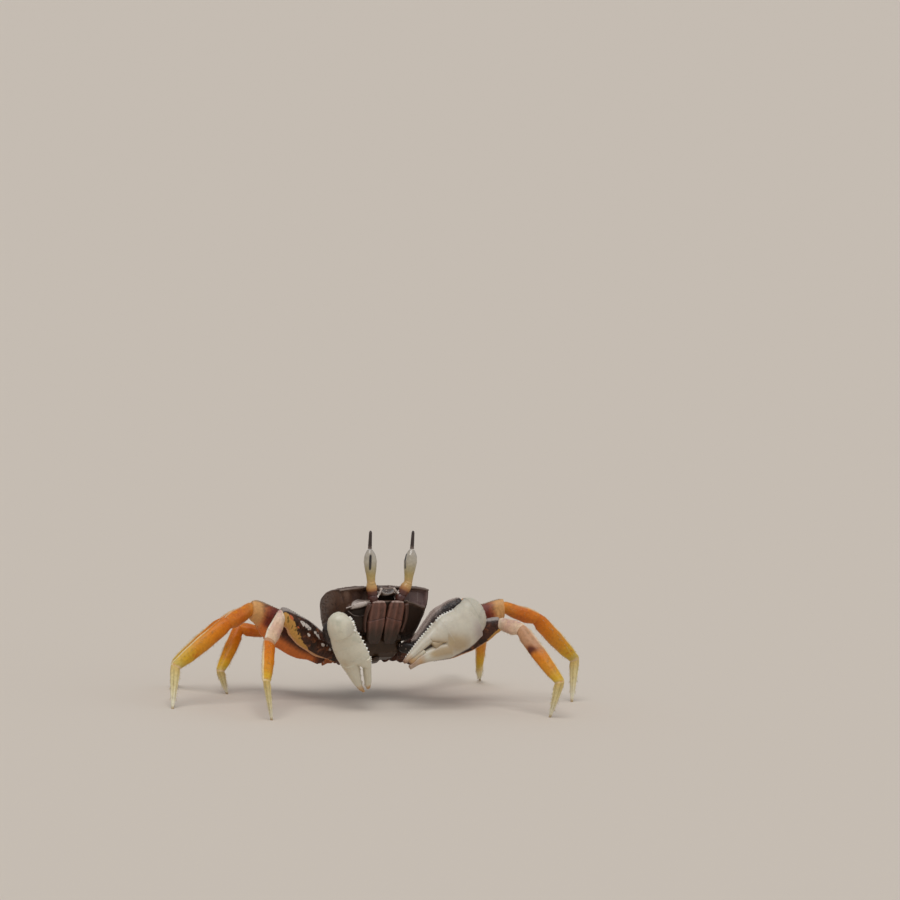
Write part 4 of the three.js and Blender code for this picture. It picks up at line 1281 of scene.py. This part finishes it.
def add_hip(shape, limb, low):
    """The short root of a broad piece, with a fold half way."""
    way = unit(limb.start - limb.root)
    length = np.linalg.norm(limb.start - limb.root)
    share = np.linspace(0, 1, 26)[:, None]
    turn = full_turn(40)[None]
    level = unit(np.cross(way, limb.wide))
    upright = np.cross(level, way)
    swell = 1 + 0.12 * np.cos(share * 4 * math.pi) - 0.25 * bell(share, 0.55, 0.05)
    offset = ((2.3 * swell * np.sin(turn))[..., None] * upright
              + (1.9 * swell * np.cos(turn))[..., None] * level)
    shape.tube(limb.root + offset + (share * length)[..., None] * way, reach=0.1, low=low)


def add_merus(shape, limb, label, front_pair, seed, rng):
    """A broad inner piece: short ridges across it, three beaded edges, and granules above."""
    left = label.startswith("left")

    def relief(share, angle):
        arc = np.sin(angle) * 4.5
        folds = np.maximum(np.sin(share * limb.length * 4.2 + 1.5 * ripple(share * 20, arc, 6, seed)), 0)
        return (0.09 * folds * (0.4 + 0.6 * np.abs(np.cos(angle))) + 0.3 * around(angle, UP, 0.22)
                + 0.08 * bell(share, 0.97, 0.02) + 0.12 * ripple(share * limb.length, arc, 7, seed + 1))

    limb_tube(shape, limb, 150, 64, relief, **(mottled_values(limb, left) if front_pair else BANDED_VALUES))
    add_hip(shape, limb, 0.0 if left else 0.4)
    for angle, count, size, lift in ((UP, 44, 0.26, 0.28), (DOWN + 0.3, 34, 0.2, 0.02),
                                     (DOWN - 0.3, 34, 0.2, 0.02)):
        share = np.linspace(0.04, 0.95, count)
        limb_beads(shape, limb, share, angle, lift, size * rng.uniform(0.8, 1.25, count),
                   low=float(angle < 0), edge=float(angle > 0), reach=0.3)
    count = 240 if front_pair else 90
    share, angle = rng.uniform(0.05, 0.85, count), rng.uniform(0.35, 2.8, count)
    limb_beads(shape, limb, share, angle, 0.02, rng.uniform(0.12, 0.22, count),
               edge=rng.uniform(0.0, 0.8, count), reach=share)


def add_keeled(shape, limb, keel, values, seed, rng):
    """A wrist or shin: three low keels, with beads along the upper and the lower one."""
    def relief(share, angle):
        keels = keel * (around(angle, UP, 0.3) + around(angle, DOWN, 0.3) + around(angle, 0, 0.3))
        return (keels * ease(0, 0.2, share) * (1 - ease(0.85, 1, share)) + 0.1 * bell(share, 0.96, 0.03)
                + 0.05 * ripple(share * limb.length, angle * 2, 4, seed))

    # Painted highlight: pale lines along the upper and lower keels.
    def edge(share, angle):
        both = around(angle, UP, 0.5) * 1.1 + around(angle, DOWN, 0.25) * 0.7
        return both * (1 - 0.6 * bell(share, 0, 0.3))

    limb_tube(shape, limb, 90, 48, relief, edge=edge, **values)
    for angle in (UP, DOWN):
        count = int(limb.length * 1.5)
        share = np.linspace(0.08, 0.93, count)
        limb_beads(shape, limb, share, angle, keel, 0.16 * rng.uniform(0.8, 1.3, count),
                   edge=1.0, reach=share)


def add_toe(shape, limb):
    """A fluted toe."""
    def relief(share, angle):
        flutes = 0.07 * np.cos(FLUTES * angle) * (1 - ease(0.75, 0.95, share)) * ease(0.03, 0.15, share)
        return flutes + 0.2 * bell(share, 0.12, 0.12)

    # Painted shade in the grooves between the flutes.
    limb_tube(shape, limb, 80, 48, relief, far_end="flat",
              flute=lambda s, a: (0.5 - 0.5 * np.cos(FLUTES * a)) * (1 - ease(0.7, 0.95, s)))


class CRAB_OT_legs(bpy.types.Operator):
    """Build the eight walking legs, each of four ridged pieces with membranes at the joints"""
    bl_idname = "crab.legs"
    bl_label = "Walking legs"

    def execute(self, context):
        front_skins, other_skins = leg_materials(context.scene.crab_legs)
        # Thin folded skin between the hard pieces, matt and flesh-coloured.
        membrane = cuticle("soft_joint_membrane", [(0, "#b9743f"), (1, "#c98a55")], relief=0.3,
                           roughness=(0.5, 0.7), coat=0.0)
        middle = trunk_middle()
        for side_name in SIDES:
            for number in LEG_NUMBERS:
                label = f"{side_name}_leg{number}"
                front_pair = number == LEG_NUMBERS[0]
                skins = front_skins if front_pair else other_skins
                joints = Shape()
                for piece, limb in leg_limbs(label, middle).items():
                    seed = sum(map(ord, label + piece))
                    rng = np.random.default_rng(seed)
                    shape = Shape()
                    if piece == "merus":
                        add_merus(shape, limb, label, front_pair, seed, rng)
                    elif piece == "dactylus":
                        add_toe(shape, limb)
                    else:
                        values = shin_values(label, number) if piece == "propodus" else {}
                        add_keeled(shape, limb, KEELS[piece], values, seed, rng)
                    shape.piece(f"{label}_{piece}_skin", skins[piece], piece, [f"{label}_{piece}"])
                    if piece != "merus":
                        up, down, front, _ = limb.at(0.0)
                        joints.ball(limb.start - limb.along * 0.3, [limb.thin, limb.wide, limb.along],
                                    [0.86 * front, 0.42 * (up + down), 1.0], 12, 22, reach=0.5)
                joints.piece(f"{label}_membranes", membrane, "carpus")
        return {"FINISHED"}


BRISTLE_RADIUS = 0.045
PATCHES = 4  # rows and columns of map patches, one patch to each leg piece
PATCH_MARGIN, PATCH_WIDTH = 0.01, 0.22  # as shares of the map
PATCH_BLUR = 0.0015  # how far a bristle's corners lie from its own point on the map


class CRAB_OT_bristles(bpy.types.Operator):
    """Add the short bristles along the wrists, shins and toes"""
    bl_idname = "crab.bristles"
    bl_label = "Bristles"

    def execute(self, context):
        legs = context.scene.crab_legs
        # Stiff chitin hairs, pale gold and slightly glossy.
        material = cuticle("chitin_bristle_gold", [(0, "#b59a62"), (1, "#d8c79a")], relief=0.0,
                           roughness=(0.4, 0.5))
        middle = trunk_middle()
        length = legs.bristle_length / MM
        # How many bristles each piece has, and the share of its length where they end.
        hairy = {"propodus": (legs.bristles, 0.9), "dactylus": (legs.bristles // 2, 0.78),
                 "carpus": (legs.bristles // 3, 0.9)}
        for side_name in SIDES:
            shape = Shape()
            cell = 0
            for number in LEG_NUMBERS:
                limbs = leg_limbs(f"{side_name}_leg{number}", middle)
                for piece, (count, last) in hairy.items():
                    limb = limbs[piece]
                    rng = np.random.default_rng(BRISTLE_SEED + cell)
                    share = rng.uniform(0.06, last, count)
                    row = rng.choice([UP, DOWN, 0.5, math.pi - 0.5], count)
                    angle = row + rng.normal(0, 0.16, count)
                    lean = limb.outward(share, angle) * 0.75
                    lean = lean + limb.along * rng.uniform(0.4, 0.9, count)[:, None]
                    corner = np.array([cell % PATCHES, cell // PATCHES]) / PATCHES + PATCH_MARGIN
                    spot = corner + np.stack([share, (angle / (2 * math.pi)) % 1], -1) * PATCH_WIDTH
                    patches = spot + rng.uniform(-PATCH_BLUR, PATCH_BLUR, (count, 2))
                    shape.bristles(limb.skin(share, angle), lean, length * rng.uniform(0.6, 1.15, count),
                                   BRISTLE_RADIUS, patches, reach=0.5)
                    cell += 1
            shape.piece(f"bristles_{side_name}", material, "dactylus")
        return {"FINISHED"}


# ---------------------------------------------------------------- claws

TURN = full_turn(64)  # angles of the rings that join a claw's pieces
PALM_END = 0.5  # share of the hand's length that is palm; the rest is its finger
SOFTNESS = 26  # the wrist's edges: the lower, the rounder
# What sets the claws apart: full is the size of teeth and granules beside the large claw's, wear how
# far the worn colour reaches up the tips, silhouette the angle of the upper margin's beads, saw their
# spacing and size, and sole the angle of the lower margin's beads.
HANDS = {
    "left": {"large": 1, "full": 1.0, "wear": 1, "silhouette": 1.74, "saw": (1.0, 0.32), "sole": -1.4},
    "right": {"large": 0, "full": 0.75, "wear": 0.91, "silhouette": 1.5, "saw": (2.0, 0.66), "sole": -1.75}}


class CRAB_OT_claws(bpy.types.Operator):
    """Build the two claws: arm, wrist, palm with its fixed finger, and moving finger"""
    bl_idname = "crab.claws"
    bl_label = "Claws"

    def execute(self, context):
        claws = context.scene.crab_claws
        # Dense lime-rich chitin like old ivory: creamy, granular, faintly translucent.
        hand_skin = cuticle(
            "ivory_chitin_granular", [(0, claws.ivory), (0.76, claws.ivory), (0.86, "#bf9560"),
                                      (1, claws.tips)],
            [("clouds", 9.0, 0.45, 0.75, "#cdc4ae"),
             ("value", "low", 0.25, 1.2, claws.beige),
             # Painted shade: the large claw darker all over, most at the wrist end and underneath.
             ("value", "dusk", 0.1, 1.1, "#a69890"),
             # A dark seam along the large claw's lower margin, partly painted shade, and painted shade
             # between its fingers.
             ("value", "seam", 0.4, 0.9, "#4b3526"),
             ("value", "edge", 0.4, 1.1, "#f6f1e6")],
            grain=0.7, relief=0.06, roughness=(0.36, 0.48), coat=0.12, soft=0.08, tone=0.03)
        wrist_skin = cuticle(
            "ivory_chitin_smooth", [(0, claws.ivory), (1, claws.ivory)],
            [("clouds", 7.0, 0.5, 0.7, "#c4bfaa"),
             # Painted shade on the large wrist and on the small wrist's inner flank.
             ("value", "dusk", 0.2, 1.1, "#8c8078"),
             ("value", "edge", 0.4, 1.1, "#f6f1e6")],
            grain=0.6, relief=0.06, roughness=(0.36, 0.48), coat=0.12, soft=0.08, tone=0.03)
        # Dark purple chitin with a pale worn saw edge, painted near-black as shade at its root.
        arm_skin = cuticle(
            "dark_chitin_saw_edged", [(0, "#1f1512"), (0.3, claws.arm), (0.6, claws.arm), (0.8, "#241a16"),
                                      (1, "#2c211b")],
            [("clouds", 2.5, 0.5, 0.68, "#1d1312"),
             ("spots", 1.3, 0.4, "#77675f"),
             ("value", "edge", 0.2, 0.8, claws.arm_edge)], grain=0.6, relief=0.4, shine=0.3)
        middle = trunk_middle()
        for name, side in SIDES.items():
            label = f"{name}_claw"
            claw_arm(label, middle, arm_skin, ARM_SEEDS[name])
            hand, finger = hand_limbs(label)
            claw_wrist(label, wrist_skin, side, hand)
            claw_hand(label, hand, finger, hand_skin, claws.granule / MM, HANDS[name], HAND_SEEDS[name])
        return {"FINISHED"}


def claw_arm(label, middle, material, seed):
    """An arm with its root, three rows of saw teeth and granules over its upper half."""
    limb = Limb(f"{label}_arm", middle, bend="square", broad=(0, 0, 1))
    shape = Shape()
    rng = np.random.default_rng(seed)

    def relief(share, angle):
        return (0.2 * around(angle, UP, 0.45) + 0.08 * ripple(share * limb.length, angle * 3, 3, 5)
                + 0.25 * bell(share, 0.96, 0.03))

    def pale(share, angle):
        return (1.2 * around(angle, 1.6, 0.7) * ease(0.0, 0.12, share)
                * (1 - ease(0.62, 0.78, share) * around(angle, 0.7, 0.9)))

    limb_tube(shape, limb, 90, 56, relief, edge=pale)
    root = limb.start - limb.root
    shape.ball((limb.start + limb.root) / 2, [limb.thin, limb.wide, unit(root)],
               [2.2, 2.8, 0.5 * np.linalg.norm(root) + 1.5], reach=0.0)
    for angle, count, size in ((UP, 40, 0.34), (UP - 0.35, 30, 0.26), (DOWN, 24, 0.24)):
        share = np.linspace(0.05, 0.97, count)
        angles = angle + rng.normal(0, 0.03, count)
        limb_beads(shape, limb, share, angles, 0.15, size * rng.uniform(0.75, 1.2, count),
                   size * rng.uniform(1.0, 1.7, count), edge=float(angle > 0), reach=share)
    count = 220
    share, angles = rng.uniform(0.15, 0.95, count), rng.normal(1.3, 0.45, count)
    limb_beads(shape, limb, share, angles, 0.02, rng.uniform(0.12, 0.24, count),
               edge=rng.uniform(0.2, 1.0, count), reach=share)
    shape.piece(f"{label}_arm_skin", material, "claw_arm", [f"{label}_arm"])


def hand_limbs(label):
    """The palm with its fixed finger, and the moving finger; their broad way points from one to the other."""
    wrist, palm, finger = (corners_and_triangles(f"{label}_{piece}")[0].mean(0)
                           for piece in ("carpus", "hand", "finger"))
    hand = Limb(f"{label}_hand", wrist, broad=finger - palm, stations=44, squareness=2.15)
    return hand, Limb(f"{label}_finger", wrist, broad=hand.wide, thin=hand.thin, stations=16, squareness=2.1)


def collar(shape, first, last, crease, **values):
    """A smooth skin from one ring of points to another, with a shallow crease part of the way."""
    t = np.linspace(0, 1, 20)[:, None, None]
    rows = first * (1 - t) + last * t
    middle = rows.mean(1, keepdims=True)
    shape.tube(middle + (rows - middle) * (1 - crease * bell(t, 0.4, 0.12)), **values)


def web(shape, hand, finger, begin, end, thick, grip=0.9, **values):
    """Fills the space between the two fingers over part of the palm's length."""
    rows = []
    for share in np.linspace(begin, end, 16):
        palm_side = hand.skin(share, UP)
        near = np.clip((palm_side - finger.start) @ finger.along / finger.length, 0, 1)
        finger_side = finger.skin(near, DOWN)
        across = finger_side - palm_side
        depth = thick * min(hand.at(share)[2], finger.at(near)[2])
        rows.append((palm_side + finger_side) / 2 + np.cos(TURN)[:, None] * hand.thin * depth
                    + np.sin(TURN)[:, None] * (across / 2 + unit(across) * grip))
    shape.tube(np.array(rows), **values)


def claw_wrist(label, material, side, hand):
    """The wrist piece: the solid's own convex shape with its edges softened, and a collar to the palm."""
    points, triangles = corners_and_triangles(f"{label}_carpus")
    normals = face_normals(points, triangles)
    middle = (points.min(0) + points.max(0)) / 2
    distance = ((points[triangles[:, 0]] - middle) * normals).sum(1)
    planes = np.unique(np.round(np.column_stack([normals, distance]), 3), axis=0)
    planes = planes[((points - middle) @ planes[:, :3].T).max(0) < planes[:, 3] + 0.02]

    def reach(rays):
        press = np.maximum(rays @ planes[:, :3].T, 0) / planes[:, 3]
        return ((press ** SOFTNESS).sum(-1) ** (-1 / SOFTNESS))[..., None]

    lift = np.linspace(DOWN, UP, 70)[1:-1, None]
    turn = full_turn(96)[None]
    rays = np.stack([np.cos(lift) * np.cos(turn), np.cos(lift) * np.sin(turn), np.sin(lift) + 0 * turn], -1)
    skin = middle + rays * reach(rays)
    size = (points.max(0) - points.min(0)) / (skin.reshape(-1, 3).max(0) - skin.reshape(-1, 3).min(0))
    skin = middle + (skin - middle) * size
    shape = Shape()
    # The large claw's wrist is painted a little darker all over as shade; the small one's has a flat lilac
    # painted shade on its inner flank.
    large, small = side > 0, side < 0
    shade = 0.4 * large
    inner = 0.35 * ease(0.2, 0.6, rays @ [0.91, -0.41, 0]) * (1 - ease(0.3, 0.6, rays[..., 2])) * small
    shape.tube(skin, reach=0.5, dusk=np.maximum(inner, shade))
    aims = unit(np.cos(TURN)[:, None] * hand.thin + np.sin(TURN)[:, None] * hand.wide - 0.05 * hand.along)
    flank = (0.7 - np.linspace(0, 0.9, 20)[:, None]) * around(TURN, 1.45, 0.75) * small
    collar(shape, middle + aims * reach(aims) * size, hand.skin(0.19, TURN, 0.03), 0.03, reach=0.5,
           dusk=np.maximum(flank, shade))
    # A saw edge runs down the inner side, and granules cover the top.
    rng = np.random.default_rng(WRIST_SEED + side)
    rim = np.abs(rays @ [-0.41, -0.91, 0.1] - 0.1) < 0.12
    rows, columns = np.nonzero(rim & (-side * rays[..., 0] > 0.2) & (np.abs(rays[..., 2]) < 0.75))
    count = 34
    picks = rng.choice(len(rows), count, replace=False)
    spots = skin[rows[picks], columns[picks]]
    shape.beads(spots, unit(spots - middle), rng.uniform(0.3, 0.45, count), rng.uniform(0.6, 0.95, count),
                edge=1.3, reach=0.5)
    count = 200
    spots = skin[rng.integers(24, 66, count), rng.integers(0, 96, count)]
    shape.beads(spots, unit(spots - middle), rng.uniform(0.1, 0.2, count), edge=0.3, reach=0.5)
    shape.piece(f"{label}_wrist_skin", material, "claw", [f"{label}_carpus"])


def add_teeth(shape, limb, begin, end, count, angle, size, every, rise, edge, rng):
    """The row of biting teeth on one finger: each fourth or fifth one is larger."""
    share = np.linspace(begin, end, count)
    teeth = size * (0.7 + 0.6 * (np.arange(count) % every == 2)) * rng.uniform(0.8, 1.15, count)
    limb_beads(shape, limb, share, angle, 0.0, teeth, teeth * rise, edge=edge, reach=share)


def palm_granules(shape, hand, relief, low, granule, look, rng):
    """Granules over both faces of the palm, larger towards its upper margin."""
    for faces, count in ((1, 380), (-1, 160)):
        share = rng.uniform(0.02, PALM_END + 0.12, count)
        height = rng.beta(2.2, 1.5, count) * 2 - 1
        angles = np.arcsin(np.clip(height, -0.97, 0.97))
        angles = angles if faces > 0 else math.pi - angles
        size = granule * look["full"] * (0.16 + 0.16 * ease(-0.6, 1, height)) * rng.uniform(0.6, 1.2, count)
        keep = share < PALM_END - 0.02 + (height < -0.2) * 0.15
        share, angles, size = share[keep], angles[keep], size[keep]
        limb_beads(shape, hand, share, angles, relief(share, angles), size, size * 0.7,
                   reach=share, low=low(share, angles), dusk=0.3 * look["large"])


def claw_hand(label, hand, finger, material, granule, look, seed):
    """The palm with its fixed finger, the skin that joins the moving finger to it, and that finger."""
    rng = np.random.default_rng(seed)
    large, full = look["large"], look["full"]

    def wear(share, angle):
        return share * look["wear"]

    def low(share, angle):
        if not large:
            return 0.5 * around(angle, -0.8, 0.6) * bell(share, 0.45, 0.2)
        return (1.1 * around(angle, 0.6 * ease(0.3, 0.55, share) - 0.55, 0.65) * ease(0.08, 0.4, share)
                * (1 - ease(0.66, 0.8, share)))

    # Painted shade, on the large claw only: all over, and more at the wrist end and underneath.
    def dusk(share, angle):
        return (0.3 + 0.5 * (1 - ease(0.02, 0.2, share)) * ease(-0.5, 0.6, -np.sin(angle))) * large

    def edge(share, angle):
        return 0.8 * bell(np.sin(angle), 1, 0.04) * (1 - ease(PALM_END, PALM_END + 0.05, share))

    # A dark brown seam along the large palm's lower margin, partly painted shade under the claw.
    def seam(share, angle):
        line = around(angle, -1.38, 0.32) * (1 - ease(0.6, 0.75, share)) * ease(0.02, 0.08, share)
        return line * 1.1 * large

    def palm_relief(share, angle):
        swell = 0.35 * full * bell(share, 0.3, 0.18) * around(angle, 0, 0.8)
        groove = 0.08 * full * bell(np.sin(angle), 0.15, 0.12) * ease(PALM_END + 0.06, 0.7, share)
        return swell - groove + 0.05 * ripple(share * hand.length, angle * 4, 5, 3)

    shape = Shape()
    limb_tube(shape, hand, 190, 80, palm_relief, far_end="point", reach=wear, low=low, dusk=dusk, edge=edge,
              seam=seam)
    # The finger's root grows out of the palm's upper half.
    root = hand.skin(PALM_END - 0.1, TURN, palm_relief(PALM_END - 0.1, TURN) + 0.02)
    root -= np.minimum((root - hand.start) @ hand.wide + 1.5, 0)[:, None] * hand.wide
    collar(shape, root, finger.skin(0.26, TURN, 0.02), 0.02, reach=0.5, dusk=0.3 * large,
           low=0.2 + 0.9 * large * around(TURN, -0.9, 0.9))
    if large:
        # Beyond the root the two fingers lie close and touch at the tips; a thin dark web between them is
        # painted shade in the gap.
        web(shape, hand, finger, 0.47, 0.63, 1.05, grip=2.2, reach=0.6, low=0.9, dusk=0.3)
        web(shape, hand, finger, 0.6, 0.8, 0.25, seam=2.0, reach=0.6)
        web(shape, hand, finger, 0.755, 0.97, 0.98, reach=np.linspace(0.7, 0.92, 16)[:, None], low=0.3)
    # Beads along the margins: angle, where they begin and end, spacing, size, paleness.
    margins = ((look["silhouette"], 0.08, PALM_END - 0.02, *look["saw"], 1.4),
               (UP - 0.25, 0.1, PALM_END - 0.02, 1.3, 0.26, 0.8),
               (look["sole"], 0.05, 0.7, 0.8, 0.22, 0.0))
    for angle, begin, end, spacing, size, pale in margins:
        count = int(hand.length * (end - begin) / (spacing * full))
        share = np.linspace(begin, end, count)
        size = size * full
        limb_beads(shape, hand, share, angle, 0.02, size * rng.uniform(0.7, 1.2, count),
                   size * rng.uniform(0.9, 1.9, count), edge=pale, seam=(1 - pale) * large, reach=share)
    add_teeth(shape, hand, PALM_END + 0.09, 0.95, 15, UP, full * 0.36, 4, 1.35, 0.6, rng)
    palm_granules(shape, hand, palm_relief, low, granule, look, rng)
    shape.piece(f"{label}_hand_skin", material, "claw", [f"{label}_hand"])

    def finger_relief(share, angle):
        groove = 0.1 * full * bell(np.sin(angle), -0.05, 0.14) * ease(0.1, 0.3, share)
        return 0.04 * ripple(share * finger.length, angle * 3, 4, 6) - groove * (1 - ease(0.85, 1, share))

    shape = Shape()
    # The large finger carries the same painted shade.
    limb_tube(shape, finger, 110, 60, finger_relief, far_end="point", reach=wear, low=0.15, dusk=0.3 * large,
              edge=lambda s, a: 0.6 * bell(np.sin(a), 1, 0.06))
    for angle, begin, end, spacing, size in ((look["silhouette"], 0.02, 0.9, 0.95, 0.38),
                                             (UP - 0.3, 0.1, 0.7, 1.3, 0.24)):
        count = int(finger.length * (end - begin) / (spacing * full))
        share = np.linspace(begin, end, count)
        size = size * full
        limb_beads(shape, finger, share, angle, 0.0, size * (1.1 - 0.5 * share),
                   size * (1.7 - 0.8 * share) * rng.uniform(0.6, 1.1, count), edge=1.3, reach=share * 0.8)
    add_teeth(shape, finger, 0.12, 0.93, 14, DOWN, full * 0.34, 5, 1.3, 0.5, rng)
    shape.piece(f"{label}_finger_skin", material, "claw", [f"{label}_finger"])


# ---------------------------------------------------------------- stage

FLOOR_REACH = 45.0  # metres from the middle to an edge of the floor
GROUND_POINT = (1.16, -2.03, 0.0)  # on the ground under the crab, in millimetres
# Where that point lies in the view: to the right of its middle and above it, as shares of its distance.
GROUND_IN_VIEW = (-0.0161, -0.0501)
# Lights: name, turn from the front towards the crab's left, height, spread of the soft edge in degrees,
# and strength beside the main light's.
LIGHTS = (("key", -35, 62, 38, 1.0), ("fill", 60, 28, 60, 0.22))


def way_back(turn, lift):
    """The direction from the crab to something in front of it, turned to its left and raised."""
    return Vector((math.sin(turn) * math.cos(lift), -math.cos(turn) * math.cos(lift), math.sin(lift)))


def build_floor(scene, colour):
    mesh = bpy.data.meshes.new("floor")
    corners = [(x * FLOOR_REACH, y * FLOOR_REACH, 0) for x, y in ((-1, -1), (1, -1), (1, 1), (-1, 1))]
    mesh.from_pydata(corners, [], [(0, 1, 2, 3)])
    floor = bpy.data.objects.new("floor", mesh)
    scene.collection.objects.link(floor)
    # Smooth painted board: pale, even and matt.
    paint = bpy.data.materials.new("matt_painted_board")
    paint.use_nodes = True
    board = paint.node_tree.nodes["Principled BSDF"]
    board.inputs["Base Color"].default_value = (*colour, 1)
    board.inputs["Roughness"].default_value = 0.9
    board.inputs["Specular IOR Level"].default_value = 0.1
    mesh.materials.append(paint)


def build_camera(scene, stage):
    camera_data = bpy.data.cameras.new("camera")
    camera_data.sensor_width = 36
    camera_data.lens = 200
    camera_data.clip_end = 200
    camera = bpy.data.objects.new("camera", camera_data)
    scene.collection.objects.link(camera)
    scene.camera = camera
    back = way_back(-stage.azimuth, stage.elevation)
    place = Vector(GROUND_POINT) * MM + back * stage.distance
    # The ground point lies to the left of the middle of the view and below it.
    right = back.cross(Vector((0, 0, 1))).normalized() * -1
    tilt = Matrix.Rotation(stage.roll, 3, back)
    right, up = tilt @ right, tilt @ back.cross(right)
    view_right, view_up = GROUND_IN_VIEW
    sight = (-back - right * view_right - up * view_up).normalized()
    level = (right - sight * right.dot(sight)).normalized()
    rise = level.cross(sight)
    camera.matrix_world = Matrix((
        (level.x, rise.x, -sight.x, place.x),
        (level.y, rise.y, -sight.y, place.y),
        (level.z, rise.z, -sight.z, place.z),
        (0, 0, 0, 1)))


class CRAB_OT_stage(bpy.types.Operator):
    """Set up the floor, the soft light and the camera"""
    bl_idname = "crab.stage"
    bl_label = "Stage"

    def execute(self, context):
        scene, stage = context.scene, context.scene.crab_stage
        build_floor(scene, stage.floor)
        world = bpy.data.worlds.new("room")
        world.use_nodes = True
        background = world.node_tree.nodes["Background"]
        background.inputs["Color"].default_value = (*stage.sky, 1)
        background.inputs["Strength"].default_value = stage.room
        scene.world = world
        for name, turn, lift, spread, strength in LIGHTS:
            light = bpy.data.lights.new(name, "SUN")
            light.energy = stage.key * strength
            light.angle = math.radians(spread)
            lamp = bpy.data.objects.new(name, light)
            back = way_back(math.radians(turn), math.radians(lift))
            lamp.rotation_euler = back.to_track_quat("Z", "Y").to_euler()
            scene.collection.objects.link(lamp)
        scene.view_settings.view_transform = "Standard"
        build_camera(scene, stage)
        return {"FINISHED"}


OPERATORS = (CRAB_OT_stage, CRAB_OT_shell, CRAB_OT_underside, CRAB_OT_mouth, CRAB_OT_eyes, CRAB_OT_legs,
             CRAB_OT_bristles, CRAB_OT_claws)


class CRAB_PT_panel(bpy.types.Panel):
    """Lists the crab's pieces and their sizes and colours"""
    bl_idname = "CRAB_PT_panel"
    bl_label = "Ghost crab"
    bl_space_type = "VIEW_3D"
    bl_region_type = "UI"
    bl_category = "Ghost crab"

    def draw(self, context):
        for group in settings_of(context):
            box = self.layout.box()
            for key in group.__annotations__:
                box.prop(group, key)
        for operator in OPERATORS:
            self.layout.operator(operator.bl_idname)


SETTINGS = {"crab_shell": ShellSettings, "crab_legs": LegSettings, "crab_claws": ClawSettings,
            "crab_stage": StageSettings}


def register():
    for group in (*SETTINGS.values(), *OPERATORS, CRAB_PT_panel):
        bpy.utils.register_class(group)
    for key, group in SETTINGS.items():
        setattr(bpy.types.Scene, key, PointerProperty(type=group))


def unregister():
    for key in SETTINGS:
        delattr(bpy.types.Scene, key)
    for group in reversed((*SETTINGS.values(), *OPERATORS, CRAB_PT_panel)):
        bpy.utils.unregister_class(group)


def main():
    register()
    for operator in OPERATORS:
        group, name = operator.bl_idname.split(".")
        getattr(getattr(bpy.ops, group), name)()


if __name__ == "__main__":
    main()
